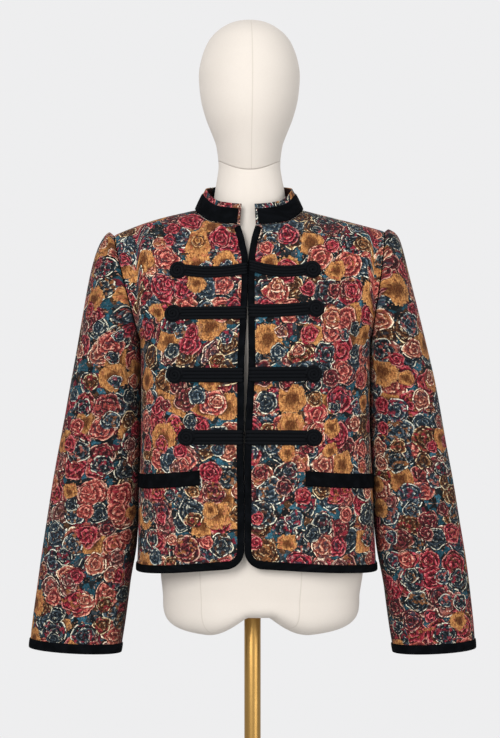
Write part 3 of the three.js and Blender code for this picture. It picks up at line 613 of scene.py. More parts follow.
    def row_of(self, x: Array, z: Array, top: float = 0.98) -> Tuple[Array, Array]:
        """The rows and lengths across of places given from the front.

        Args:
            x: the places' X, in millimetres.
            z: their height.
            top: the highest row that is looked at.

        Returns:
            The rows and the lengths across them.
        """
        x, z = together(x, z)
        low = np.full(x.shape, self.LOWEST)
        high = np.full(x.shape, top)
        across = np.zeros(x.shape)
        for _ in range(self.HALVINGS):
            v = (low + high) / 2.0
            start = self.start(v)[..., 0]
            end = self.end(v)[..., 0]
            across = clamp((x - start) / (end - start))
            under = self.base(v, across)[..., 2] < z
            low = np.where(under, v, low)
            high = np.where(under, high, v)
        v = (low + high) / 2.0
        lengths = self.length(v)[..., None] * np.linspace(0.0, 1.0, self.FINE)
        shares = self.across(np.broadcast_to(v[..., None], lengths.shape), lengths)
        rows = zip(across.ravel(), shares.reshape(-1, self.FINE), lengths.reshape(-1, self.FINE))
        flat = [np.interp(share, row, run) for share, row, run in rows]
        return v, np.array(flat).reshape(v.shape)


def height_to_v(height: Number) -> Number:
    """The row of a height above the front's hem."""
    span = float(neck_point(1.0, 0.0)[2]) - BODY_SIZES.hem_front
    return np.asarray(height, dtype=float) * BODY_SIZES.v_neck / span


def corner_start(height: Array) -> Array:
    """How far in the cloth starts at a height over the hem, at the rounded lower corner."""
    radius = BODY_SIZES.corner
    inside = np.maximum(0.0, radius ** 2 - (radius - height) ** 2)
    return np.where(height >= radius, 0.0, radius - np.sqrt(inside))


@dataclass(frozen=True)
class SleeveSizes:
    """Where the sleeves hang and how their heads are gathered, in millimetres and degrees."""

    y: float = 2.0
    gathers: int = 6
    spread: float = 80.0
    rise: float = 1.6
    reach: float = 2.6
    cuff: float = 14.5
    close: float = 3.4
    gather_fade: float = 20.0
    gather_from: float = 0.9
    gather_full: float = 1.2
    close_rings: Tuple[float, float, float, float] = (0.6, 3.0, 8.2, 9.2)
    close_turn: float = 0.55
    calm_under: float = 0.12
    calm_head: float = 0.5
    calm_cuff: Tuple[float, float] = (6.0, 40.0)
    flat_ring: float = 3.0


SLEEVE = SleeveSizes()
RING_NAMES = "i outer_x outer_z inner_x inner_z front back"
SLEEVE_RINGS = {
    Side.LEFT: Table("i", RING_NAMES, [
        (0, -207, 1377, -168, 1222, 64, 67), (1, -217, 1379, -168.9, 1217, 66.5, 69),
        (2, -232, 1357, -169.3, 1206, 68, 70), (3, -243.5, 1318, -169.6, 1188, 68, 69),
        (4, -254.5, 1256, -169.8, 1158, 66, 66), (5, -267, 1186, -170, 1112, 62, 62),
        (6, -279, 1119.5, -170.4, 1062, 58, 59), (7, -291.5, 1055, -171.6, 1010, 54, 55),
        (8, -307.5, 958, -175.4, 932, 49, 50), (9, -319, 878, -182, 866, 45, 46),
        (10, -329, 810.5, -190, 803, 43, 43), (11, -334.2, 760, -198, 752.5, 42, 42),
    ]),
    Side.RIGHT: Table("i", RING_NAMES, [
        (0, 197.7, 1382.8, 176.5, 1222, 64, 67), (1, 206, 1384, 177.3, 1217, 66.5, 69),
        (2, 221, 1369, 177.7, 1206, 68, 70), (3, 235.5, 1315.6, 178, 1188, 68, 69),
        (4, 250, 1256, 178.3, 1158, 66, 66), (5, 268, 1183, 178.8, 1112, 62, 62),
        (6, 281, 1119.5, 179.4, 1062, 58, 59), (7, 293.5, 1051, 182.4, 1006, 54, 55),
        (8, 310, 955, 187, 930, 49, 50), (9, 323, 870, 196, 860, 45, 46),
        (10, 331, 806, 204, 798, 43, 43), (11, 334.2, 759, 211.5, 752.5, 42, 42),
    ]),
}
SLEEVE_FOLDS = {
    Side.LEFT: (
        Fold(3.2, 118.0, 1.1, 22.0, -4.0), Fold(5.4, 60.0, 1.2, 26.0, -3.5),
        Fold(7.6, 105.0, 1.6, 20.0, -3.0), Fold(5.8, 250.0, 1.6, 24.0, -4.5),
    ),
    Side.RIGHT: (
        Fold(3.4, 120.0, 1.2, 22.0, -4.0), Fold(5.8, 70.0, 1.1, 26.0, -3.5),
        Fold(8.0, 100.0, 1.6, 22.0, -3.0), Fold(5.2, 255.0, 1.5, 24.0, -4.5),
    ),
}


class SleeveShape:
    """The outer surface of a sleeve, by its rings and the angle from its outer edge."""

    RINGS = 220
    TURNS = 144
    LAST = 11.0
    STEP_TURN = 0.7
    STEP_RING = 0.02

    def __init__(self, side: Side, creases: Sequence[Crease]) -> None:
        """Prepares the rings and the flat cut.

        Args:
            side: the side of the jacket.
            creases: creases, by the length round from the outer edge and up from the cuff.
        """
        self.side = side
        self.rings = SLEEVE_RINGS[side]
        self.folds = SLEEVE_FOLDS[side]
        self.creases = tuple(creases)
        self._flatten()

    def _rise(self, ring: Array, angle: Array) -> Array:
        """The frame's own folds and gathers."""
        turn = np.mod(angle, 360.0)
        rise = np.zeros(np.broadcast(ring, angle).shape)
        for fold in self.folds:
            dr = (ring - fold.along) / fold.reach_along
            da = (turn - fold.across) / fold.reach_across
            rise = rise + fold.rise * np.exp(-dr * dr - da * da)
        half = np.where(turn > 180.0, turn - 360.0, turn)
        w = SLEEVE
        top = 1.0 - smooth(w.spread - w.gather_fade, w.spread, np.abs(half))
        near = smooth(0.0, w.gather_from, ring) * (1.0 - smooth(w.gather_full, w.reach, ring))
        wave = np.cos(half * w.gathers * math.pi / w.spread)
        return rise + w.rise * top * near * wave

    def base(self, ring: Array, angle: Array) -> Array:
        """Points as the frame has them."""
        ring, angle = together(ring, angle)
        at = {name: self.rings.at(name, ring) for name in RING_NAMES.split()[1:]}
        a = np.radians(angle)
        turned = np.mod(angle, 360.0)
        front = (turned > 0.0) & (turned < 180.0)
        rise = self._rise(ring, angle)
        mid_x = (at["outer_x"] + at["inner_x"]) / 2.0
        mid_z = (at["outer_z"] + at["inner_z"]) / 2.0
        reach_x = (at["outer_x"] - at["inner_x"]) / 2.0
        reach_z = (at["outer_z"] - at["inner_z"]) / 2.0
        long = np.hypot(reach_x, reach_z)
        grow = (long + rise) / long
        high = lerp(BODY_SIZES.side_y, ARMHOLE.y, (1.0 + np.cos(a)) / 2.0)
        y = lerp(high, SLEEVE.y, clamp(ring))
        depth = np.where(front, at["front"], at["back"]) + rise
        y = y + np.where(front, -1.0, 1.0) * depth * np.abs(np.sin(a))
        x = mid_x + reach_x * grow * np.cos(a)
        x = x + np.where(ring < 1.0, self.side.sign * BODY_SIZES.seam * (1.0 - ring), 0.0)
        return stack(x, y, mid_z + reach_z * grow * np.cos(a))

    def _flatten(self) -> None:
        """Fills the tables of the flat cut: round from the outer edge and up from the cuff."""
        ring = np.linspace(0.0, self.LAST, self.RINGS + 1)
        angle = np.linspace(-180.0, 180.0, self.TURNS + 1)
        points = self.base(ring[:, None], angle[None, :])
        rows = np.linalg.norm(np.diff(points, axis=0), axis=-1)
        up = np.concatenate([np.cumsum(rows[::-1], axis=0)[::-1], np.zeros((1, len(angle)))])
        run = running(np.linalg.norm(np.diff(points[..., :2], axis=1), axis=-1), 1)
        middle = self.TURNS // 2
        quarter = self.TURNS // 4
        self.round = run - run[:, middle:middle + 1]
        level = int(round(SLEEVE.flat_ring / self.LAST * self.RINGS))
        for sign, column in ((-1.0, quarter), (1.0, 3 * quarter)):
            reach = np.abs(self.round[:, column])
            short = np.maximum(0.0, reach[level] - reach)
            short[level:] = 0.0
            half = angle * sign > 0.0
            spread = smooth(0.0, 90.0, np.abs(angle[half]))
            self.round[:, half] += sign * short[:, None] * spread[None, :]
        self.up = up

    def flat(self, ring: Array, angle: Array) -> Tuple[Array, Array]:
        """The place on the flat cut of places on the sleeve.

        Args:
            ring: places along the rings.
            angle: degrees from the outer edge, from -180 to 180.

        Returns:
            The lengths round and up, in millimetres.
        """
        ring, angle = together(ring, angle)
        row = clamp(ring / self.LAST) * self.RINGS
        column = clamp((angle + 180.0) / 360.0) * self.TURNS
        return between(self.round, row, column), between(self.up, row, column)

    def middle(self, ring: Array) -> Array:
        """The middle of rings."""
        return (self.base(ring, np.zeros_like(ring)) + self.base(ring, 180.0 + 0.0 * ring)) / 2.0

    def creased(self, ring: Array, angle: Array) -> Array:
        """Points with the creases."""
        ring, angle = together(ring, angle)
        points = self.base(ring, angle)
        round_, up = self.flat(ring, angle)
        turned = np.abs(angle) / 180.0
        rise = crease_rise(self.creases, round_, up) + SLEEVE_RIPPLE.at(up, round_)
        low, full, last, gone = SLEEVE.close_rings
        beside = smooth(low, full, ring) * (1.0 - smooth(last, gone, ring)) * SLEEVE.close
        shift = beside * smooth(SLEEVE.close_turn, 1.0, turned)
        points = points - self.side.sign * np.array([1.0, 0.0, 0.0]) * shift[..., None]
        rise = rise * smooth(0.0, SLEEVE.calm_head, ring) * smooth(*SLEEVE.calm_cuff, up)
        rise = rise * smooth(0.0, SLEEVE.calm_under, 1.0 - turned)
        rise = rise - SEAM.depth * np.exp(-((ring / SEAM.sunk_armhole) ** 2))
        return points + unit(points - self.middle(ring)) * rise[..., None]

    def at(self, ring: Number, angle: Number, out: Number = 0.0) -> Array:
        """Points on or off the surface.

        Args:
            ring: places along the rings, from 0 at the armhole to 11 at the cuff.
            angle: degrees from the outer edge, with the front above 0.
            out: how far off the surface, in millimetres.

        Returns:
            The points, in millimetres.
        """
        ring, angle, out = together(ring, angle, out)
        points = self.creased(ring, angle)
        behind = self.creased(ring, angle - self.STEP_TURN)
        ahead = self.creased(ring, angle + self.STEP_TURN) - behind
        low = np.clip(ring - self.STEP_RING, 0.0, self.LAST)
        high = np.clip(ring + self.STEP_RING, 0.0, self.LAST)
        along = self.creased(high, angle) - self.creased(low, angle)
        normal = unit(np.cross(ahead, along))
        facing = np.sum(normal * (points - self.middle(ring)), axis=-1, keepdims=True)
        return points + np.where(facing < 0.0, -normal, normal) * out[..., None]


@dataclass(frozen=True)
class CollarSizes:
    """The stand collar and its band, in millimetres."""

    height: float = 31.0
    lean: float = 12.5
    side_lean: float = 2.6
    lift: float = 1.45
    cloth: float = 2.2
    band: float = 24.0
    band_foot: float = 0.1
    end_strip: float = 3.5
    bow: float = 0.5
    roll: float = 0.35
    roll_waves: float = 3.0
    roll_start: float = 0.6
    middle_z: float = 1430.0


COLLAR = CollarSizes()


class CollarShape:
    """The outer surface of the stand collar, by the angle round and the height."""

    def __init__(self) -> None:
        """Sets where the collar starts and ends."""
        self.first = -180.0 + SIDES[Side.LEFT].neck_angle
        self.last = 180.0 - SIDES[Side.RIGHT].neck_angle

    def at(self, turn: Number, height: Number, out: Number = 0.0) -> Array:
        """Points on or off the surface.

        Args:
            turn: degrees round from the middle of the back, minus to the viewer's left.
            height: height over the seam, in millimetres.
            out: how far off the surface.

        Returns:
            The points, in millimetres.
        """
        turn, height, out = together(turn, height, out)
        c = COLLAR
        angle = 180.0 - np.abs(turn)
        foot = np.where((turn < 0.0)[..., None], neck_point(-1.0, angle), neck_point(1.0, angle))
        away = foot[..., :2] - np.array([NECK.x, NECK.y])
        away = away / np.linalg.norm(away, axis=-1, keepdims=True)
        bow = c.bow * np.sin(math.pi * clamp(height / c.height))
        roll = c.roll * np.sin(np.radians(turn) * c.roll_waves + c.roll_start) * height / c.height
        tilt = c.lean + c.side_lean * np.sin(np.radians(angle)) ** 2
        move = out - tilt * height / c.height + bow + roll
        x = foot[..., 0] + away[..., 0] * move
        y = foot[..., 1] + away[..., 1] * move
        return stack(x, y, foot[..., 2] + c.lift + height)

    def run(self, turn: Array) -> Array:
        """The length round the seam from the middle of the back, in millimetres."""
        fine = np.linspace(-180.0, 180.0, 721)
        lengths = running(np.linalg.norm(np.diff(self.at(fine, 0.0), axis=0), axis=-1), 0)
        return np.interp(turn, fine, lengths - lengths[len(fine) // 2])


FORM_NAMES = "i z x half front back dip round"
HEAD_RINGS = Table("i", FORM_NAMES, [
    (0, 1488, -4.7, 46.5, -46, 50, 17, 2), (1, 1498, -4.7, 47.6, -54, 54, 12, 2),
    (2, 1514, -4.7, 50.6, -66, 61, 4, 2), (3, 1532, -4.7, 57.6, -77, 69, 0, 2),
    (4, 1553, -4.7, 65.6, -85, 79, 0, 2), (5, 1580, -4.7, 72.6, -90, 88, 0, 2),
    (6, 1614, -4.7, 75.8, -91, 94, 0, 2), (7, 1636, -4.7, 73.2, -87, 93, 0, 2),
    (8, 1655, -4.7, 67.4, -79, 88, 0, 2), (9, 1671, -4.7, 59, -69, 79, 0, 2),
    (10, 1684, -4.7, 46, -53, 63, 0, 2), (11, 1694, -4.7, 28.5, -31, 41, 0, 2),
    (12, 1699.6, -4.7, 3, -2, 10, 0, 2),
])
BODY_RINGS = Table("i", FORM_NAMES, [
    (0, 838, 13, 147, -93, 90, 0, 2.2), (1, 885, 14, 152, -96, 93, 0, 2.2),
    (2, 950, 13, 149, -95, 91, 0, 2.2), (3, 1020, 10, 134, -90, 80, 0, 2.1),
    (4, 1100, 6, 122, -88, 70, 0, 2.1), (5, 1180, 4, 138, -102, 78, 0, 2.2),
    (6, 1235, 2, 152, -111, 87, 0, 2.2), (7, 1280, 0, 160, -103, 88, 0, 2.1),
    (8, 1320, -2, 165, -90, 83, 0, 2), (9, 1355, -4, 161, -76, 74, 0, 2),
    (10, 1380, -4, 146, -67, 66, 0, 1.75), (11, 1396, -4, 124, -62, 58, 0, 1.45),
    (12, 1405.4, -4, 103, -59, 54, 0, 1.3), (13, 1409.4, -4, 80, -58, 51, 0, 1.4),
    (14, 1416, -4, 63, -56, 49, 0, 1.7), (15, 1428, -4, 55, -53, 46, 0, 2),
    (16, 1446, -4.2, 51.4, -50, 44, 3, 2), (17, 1474, -4.5, 46.8, -47, 49, 11, 2),
    (18, 1487.4, -4.6, 46.5, -46, 50, 17, 2),
])


@dataclass(frozen=True)
class LobeSizes:
    """The two rounded lobes that the form's body ends in, in millimetres."""

    notch: float = 810.0
    drop: float = 30.0
    square: float = 0.55
    flat: float = 16.0
    reach: float = 60.0
    power: float = 0.9
    x: float = 2.0


LOBES = LobeSizes()


def ring_points(values: Dict[str, Array], angle: Array) -> Array:
    """Points of level rings with rounded corners.

    Args:
        values: each ring's sizes, by name.
        angle: radians round from the viewer's right.

    Returns:
        The points, in millimetres.
    """
    cos = np.cos(angle)
    sin = np.sin(angle)
    power = 2.0 / values["round"]
    middle = (values["front"] + values["back"]) / 2.0
    half = (values["back"] - values["front"]) / 2.0
    forward = np.maximum(0.0, -sin)
    x = values["x"] + values["half"] * np.sign(cos) * np.abs(cos) ** power
    y = middle + half * np.sign(sin) * np.abs(sin) ** power
    return stack(x, y, values["z"] - values["dip"] * forward * forward)


class Skin:
    """The points, flat places and faces of a piece, before it becomes a Blender mesh."""

    def __init__(self) -> None:
        """Starts with nothing."""
        self.points = np.zeros((0, 3))
        self.flat = np.zeros((0, 2))
        self.faces = np.zeros((0, 4), dtype=int)
        self.inner = np.zeros(0, dtype=int)

    def add(self, points: Array, flat: Optional[Array] = None, closed: bool = False,
            flip: bool = False) -> "Skin":
        """Adds a grid of points.

        Args:
            points: rows and columns of points, in millimetres.
            flat: the same grid's places on the flat cut, in millimetres.
            closed: joins the last column to the first.
            flip: turns the faces over.

        Returns:
            The skin itself.
        """
        rows, columns = points.shape[:2]
        if flat is None:
            run = running(np.linalg.norm(np.diff(points, axis=1), axis=-1), 1)
            up = running(np.linalg.norm(np.diff(points, axis=0), axis=-1), 0)
            flat = pairs(run, up)
        index = np.arange(rows * columns).reshape(rows, columns) + len(self.points)
        right = np.roll(index, -1, axis=1) if closed else index[:, 1:]
        left = index if closed else index[:, :-1]
        quads = np.stack([left[:-1], right[:-1], right[1:], left[1:]], axis=-1).reshape(-1, 4)
        if flip:
            quads = quads[:, ::-1]
        self.points = np.concatenate([self.points, points.reshape(-1, 3)])
        self.flat = np.concatenate([self.flat, flat.reshape(-1, 2)])
        self.faces = np.concatenate([self.faces, quads])
        self.inner = np.concatenate([self.inner, np.zeros(len(quads), dtype=int)])
        return self

    def weld(self, grain: float = 0.02) -> "Skin":
        """Joins points that fall together on the same place of the cut.

        Args:
            grain: the distance under which they are one, in millimetres.

        Returns:
            The skin itself.
        """
        key = np.round(np.concatenate([self.points, self.flat], axis=1) / grain).astype(int)
        _, first, where = np.unique(key, axis=0, return_index=True, return_inverse=True)
        where = where.reshape(-1)
        self.points = self.points[first]
        self.flat = self.flat[first]
        self.faces = where[self.faces]
        return self

    def normals(self) -> Array:
        """The direction square to the skin at each point."""
        a, b, c, d = [self.points[self.faces[:, k]] for k in range(4)]
        cross = np.cross(c - a, d - b)
        total = np.zeros_like(self.points)
        for k in range(4):
            np.add.at(total, self.faces[:, k], cross)
        return unit(total)

    def thicken(self, thickness: float) -> "Skin":
        """Gives the skin an inner side and walls round its edges.

        Args:
            thickness: the thickness of the cloth, in millimetres.

        Returns:
            The skin itself.
        """
        count = len(self.points)
        starts = self.faces.reshape(-1)
        ends = np.roll(self.faces, -1, axis=1).reshape(-1)
        ahead = starts * count + ends
        back = ends * count + starts
        loose = ~np.isin(ahead, back)
        a = starts[loose]
        b = ends[loose]
        rim = np.stack([b, a, a + count, b + count], axis=-1)
        under = self.faces[:, ::-1] + count
        faces = len(self.faces)
        self.points = np.concatenate([self.points, self.points - self.normals() * thickness])
        self.flat = np.concatenate([self.flat, self.flat])
        self.faces = np.concatenate([self.faces, under, rim])
        kinds = [np.zeros(faces), np.ones(faces), np.zeros(len(rim))]
        self.inner = np.concatenate(kinds).astype(int)
        return self

    def facing(self, middle: Array) -> "Skin":
        """Turns the skin so that it faces away from a middle point or line.

        Args:
            middle: the middle beside each point.

        Returns:
            The skin itself.
        """
        away = np.sum(self.normals() * (self.points - middle))
        if away < 0.0:
            self.faces = self.faces[:, ::-1].copy()
        return self

    def cut_area(self) -> float:
        """The area of the outer side, in square metres."""
        outer = self.faces[self.inner == 0]
        a, b, c, d = [self.points[outer[:, k]] for k in range(4)]
        cross = np.cross(c - a, d - b)
        return float(np.sum(np.linalg.norm(cross, axis=-1)) / 2.0) * MM * MM

    def build(self, name: str, materials: Sequence[bpy.types.Material]) -> bpy.types.Object:
        """Makes the Blender object.

        Args:
            name: the piece's name.
            materials: the outer side's material, and the inner side's if it has one.

        Returns:
            The new object, in metres, in the scene.
        """
        mesh = bpy.data.meshes.new(name)
        mesh.from_pydata((self.points * MM).tolist(), [], self.faces.tolist())
        layer = mesh.uv_layers.new(name="Cut")
        loops = np.zeros(len(mesh.loops), dtype=int)
        mesh.loops.foreach_get("vertex_index", loops)
        layer.data.foreach_set("uv", (self.flat[loops] * MM).astype(np.float32).reshape(-1))
        for material in materials:
            mesh.materials.append(material)
        if len(materials) > 1:
            mesh.polygons.foreach_set("material_index", self.inner.astype(np.int32))
        mesh.polygons.foreach_set("use_smooth", np.ones(len(self.faces), dtype=bool))
        mesh.update()
        mesh.validate()
        obj = bpy.data.objects.new(name, mesh)
        bpy.context.scene.collection.objects.link(obj)
        return obj


def tube(path: Array, radius: Array, ups: Array, around: int = 10,
         flatness: float = 1.0) -> Tuple[Array, Array]:
    """A cord along a path.

    Args:
        path: the middle of the cord, one point a row, in millimetres.
        radius: the radius at each point.
        ups: the direction away from the cloth at each point.
        around: the number of points round the cord.
        flatness: the share of the radius that it keeps away from the cloth.

    Returns:
        The grid of points, and its flat places: along the cord and round it.
    """
    ahead = unit(np.gradient(path, axis=0))
    side = unit(np.cross(ahead, ups))
    up = np.cross(side, ahead)
    a = np.linspace(0.0, 2.0 * math.pi, around, endpoint=False)
    ring = side[:, None] * np.cos(a)[None, :, None]
    ring = ring + flatness * up[:, None] * np.sin(a)[None, :, None]
    points = path[:, None] + ring * radius[:, None, None]
    run = running(np.linalg.norm(np.diff(path, axis=0), axis=-1), 0)
    return points, pairs(run[:, None], a[None, :] * float(np.max(radius)))


@dataclass(frozen=True)
class TrimSizes:
    """The trims' widths and how they lie on the cloth, in millimetres and rows."""

    lift: float = 0.95
    thick: float = 1.2
    band_lift: float = 0.6
    binding: float = 9.5
    hem: float = 11.5
    welt_low: float = 0.196
    welt_high: float = 0.2305
    welt_start: float = 76.0
    welt_lift: float = 1.0
    welt_thick: float = 1.6
    welt_foot: float = 0.15
    welt_edge: float = 0.07
    welt_end: float = 1.6
    binding_top: float = 0.0012


@dataclass(frozen=True)
class FrogSizes:
    """The frogs' cords, where they lie and how round they are, in millimetres and shares."""

    cords: int = 4
    disc: float = 13.4
    swell: float = 1.07
    over_trim: float = 2.6
    ramp_from: float = 11.5
    ramp_to: float = 23.0
    look_x: float = 20.0
    edge_gap: float = 0.5
    around: int = 12
    plump: float = 0.7
    bar_places: int = 90
    bar_fat: float = 1.06
    bar_flat: float = 0.86
    bar_sink: float = 0.55
    bar_start: float = 0.35
    bar_grow: float = 3.0
    coil_places: int = 170
    coil_fat: float = 1.12
    coil_flat: float = 0.9
    coil_sink: float = 0.4
    coil_rise: float = 0.5
    turns: float = 2.6
    turn_gap: float = 1.15
    heart: float = 0.12
    seat_in: float = 0.8
    seat_drop: float = 0.7
    seat_rim: float = 0.95


@dataclass(frozen=True)
class FrogRow:
    """The heights of half a frog's coil, bend and inner end, and its half width, in millimetres."""

    disc: float
    bend: float
    inner: float
    half: float


@dataclass(frozen=True)
class FormSeam:
    """A seam of the linen: its place round on the cut and from which height to which, in metres."""

    place: float
    low: float
    high: float


HEAD_FOOT = 1500.0
FORM_SEAMS = (
    FormSeam(0.2865, 1.5, 1.72), FormSeam(0.0942, 1.5, 1.72), FormSeam(0.4932, 0.7, 1.2),
    FormSeam(0.6072, 0.7, 1.2), FormSeam(0.1885, 0.7, 1.49),
)


@dataclass(frozen=True)
class StandSizes:
    """The pole and its base, in millimetres."""

    pole: float = 12.3
    base: float = 170.0
    thick: float = 8.0
    edge: float = 3.0
    socket: float = 25.0
    socket_height: float = 30.0
    socket_round: float = 3.0
    gap: float = 0.3
    socket_gap: float = 0.4


@dataclass(frozen=True)
class Cut:
    """What a piece of cloth was cut to: width and length in metres, and its area."""

    width: float
    length: float
    area: float

    @property
    def flat(self) -> Tuple[float, float]:
        """Width and length together."""
        return (self.width, self.length)


TRIMS = TrimSizes()
FROGS = FrogSizes()
STAND = StandSizes()
FROG_ROWS = {
    Side.LEFT: (
        FrogRow(1319.6, 1316.4, 1321.0, 7.8), FrogRow(1256.6, 1256.8, 1257.4, 8.6),
        FrogRow(1168.0, 1168.0, 1168.0, 9.6), FrogRow(1078.6, 1078.8, 1079.0, 9.9),
    ),
    Side.RIGHT: (
        FrogRow(1320.4, 1317.6, 1325.4, 7.8), FrogRow(1263.6, 1260.4, 1260.0, 8.6),
        FrogRow(1169.4, 1169.2, 1169.0, 9.6), FrogRow(1078.0, 1078.6, 1079.0, 9.9),
    ),
}
CUTS = {
    "front_left": Cut(0.233, 0.576, 0.117),
    "front_right": Cut(0.268, 0.575, 0.128),
    "back": Cut(0.476, 0.624, 0.243),
    "sleeve_left": Cut(0.364, 0.646, 0.203),
    "sleeve_right": Cut(0.348, 0.654, 0.197),
    "collar": Cut(0.461, 0.031, 0.0141),
}
CREASES = {
    (Face.FRONT, Side.LEFT): (
        Crease(178.0, 1236.0, 128.0, 1262.0, 7.0, -1.8),
        Crease(196.0, 1210.0, 172.0, 1130.0, 9.0, -1.6),
        Crease(60.0, 1040.0, 90.0, 900.0, 16.0, 1.4),
        Crease(190.0, 1030.0, 150.0, 905.0, 13.0, -1.6),
        Crease(20.0, 1230.0, 75.0, 1222.0, 9.0, 0.9),
    ),
    (Face.FRONT, Side.RIGHT): (
        Crease(184.0, 1234.0, 140.0, 1268.0, 7.0, -1.7),
        Crease(200.0, 1205.0, 180.0, 1120.0, 9.0, -1.5),
        Crease(70.0, 1045.0, 96.0, 905.0, 15.0, 1.3),
        Crease(186.0, 1025.0, 160.0, 900.0, 12.0, -1.4),
        Crease(24.0, 1228.0, 80.0, 1216.0, 9.0, 0.9),
    ),
    (Face.BACK, Side.LEFT): (
        Crease(190.0, 1240.0, 130.0, 1285.0, 8.0, -2.0),
        Crease(40.0, 1120.0, 60.0, 930.0, 15.0, -1.8),
        Crease(120.0, 1060.0, 150.0, 900.0, 14.0, 1.8),
        Crease(60.0, 1330.0, 120.0, 1310.0, 10.0, -1.2),
    ),
    (Face.BACK, Side.RIGHT): (
        Crease(186.0, 1246.0, 120.0, 1280.0, 8.0, -1.9),
        Crease(46.0, 1100.0, 70.0, 920.0, 15.0, 1.9),
        Crease(130.0, 1080.0, 140.0, 905.0, 13.0, -1.7),
        Crease(50.0, 1334.0, 110.0, 1318.0, 10.0, -1.2),
    ),
}
SLEEVE_CREASES = {
    Side.LEFT: (
        Crease(30.0, 560.0, 96.0, 470.0, 9.0, -2.2),
        Crease(60.0, 470.0, 118.0, 380.0, 9.0, -2.2),
        Crease(16.0, 430.0, 88.0, 330.0, 11.0, -1.7),
        Crease(40.0, 350.0, 108.0, 250.0, 10.0, -2.4),
        Crease(10.0, 280.0, 70.0, 190.0, 10.0, -1.6),
        Crease(86.0, 200.0, 40.0, 90.0, 11.0, -1.5),
        Crease(-40.0, 540.0, -100.0, 440.0, 10.0, -2.2),
        Crease(-30.0, 400.0, -110.0, 310.0, 10.0, -2.6),
        Crease(-24.0, 320.0, -100.0, 230.0, 10.0, -1.9),
        Crease(-80.0, 200.0, -30.0, 100.0, 11.0, -1.5),
    ),
    Side.RIGHT: (
        Crease(26.0, 556.0, 92.0, 462.0, 9.0, -2.2),
        Crease(66.0, 450.0, 116.0, 372.0, 9.0, -2.1),
        Crease(20.0, 416.0, 90.0, 322.0, 11.0, -1.8),
        Crease(34.0, 330.0, 104.0, 240.0, 10.0, -2.3),
        Crease(12.0, 262.0, 76.0, 176.0, 10.0, -1.7),
        Crease(90.0, 190.0, 44.0, 84.0, 11.0, -1.4),
        Crease(-36.0, 548.0, -96.0, 446.0, 10.0, -2.1),
        Crease(-34.0, 392.0, -108.0, 300.0, 10.0, -2.5),
        Crease(-20.0, 300.0, -98.0, 214.0, 10.0, -1.8),
        Crease(-76.0, 188.0, -34.0, 92.0, 11.0, -1.4),
    ),
}


@dataclass
class Looks:
    """The materials that the pieces share."""

    jacquard: bpy.types.Material
    reverse: bpy.types.Material
    trim: bpy.types.Material
    cord: bpy.types.Material
    linen: bpy.types.Material
    brass: bpy.types.Material


def settle(obj: bpy.types.Object, slot: Slot, *nodes: str) -> bpy.types.Object:
    """Makes a piece ride on the body and hides the nodes that it stands for.

    Args:
        obj: the piece.
        slot: the record's material slot; not used.
        nodes: the nodes that it replaces.

    Returns:
        The piece.
    """
    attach(obj, BODY)
    if nodes:
        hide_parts(*nodes)
    LOG.info("%s: %d faces", obj.name, len(obj.data.polygons))
    return obj


def sew_cloth(skin: Skin, node: str, thickness: float, looks: Looks) -> bpy.types.Object:
    """Makes a cloth piece from its outer side.

    Args:
        skin: the outer side.
        node: the node that it replaces.
        thickness: the cloth's thickness, in millimetres.
        looks: the shared materials.

    Returns:
        The piece.
    """
    LOG.info("%s area %.4f", node, skin.cut_area())
    skin.thicken(thickness)
    obj = skin.build(f"{node}_cloth", [looks.jacquard, looks.reverse])
    return settle(obj, Slot.JACQUARD, node)


def sew_trim(points: Array, node: str, looks: Looks) -> bpy.types.Object:
    """Makes a strip of trim from a grid of points.

    Args:
        points: places along the strip by places across it, in millimetres.
        node: the node that it replaces.
        looks: the shared materials.

    Returns:
        The piece.
    """
    skin = Skin().add(np.swapaxes(points, 0, 1))
    heart = np.repeat(np.mean(points, axis=1)[None], points.shape[1], axis=0)
    skin.facing(heart.reshape(-1, 3))
    return settle(skin.build(f"{node}_strip", [looks.trim]), Slot.TRIM, node)


@dataclass(frozen=True)
class Strip:
    """The rounded profile of a folded strip of trim, in millimetres."""

    width: float
    lift: float
    thick: float
    under: float = 7.0
    cloth: float = 1.8

    def profile(self) -> Tuple[Array, Array]:
        """Places across the strip: how far in from the edge, and how far off the cloth."""
        top = self.lift + self.thick
        low = -self.cloth - 0.9
        places = [
            (self.under, low + 0.7), (self.under - 1.0, low), (1.0, low), (-0.15, low + 0.6),
            (-0.5, low / 2.0), (-0.5, 0.0), (-0.2, top - 0.9), (0.5, top - 0.25), (1.6, top),
            (self.width * 0.5, top + 0.1), (self.width - 1.6, top - 0.12),
            (self.width - 0.7, top - 0.5), (self.width - 0.1, 0.5), (self.width, 0.1),
        ]
        inset, off = np.array(places).T
        return inset, off


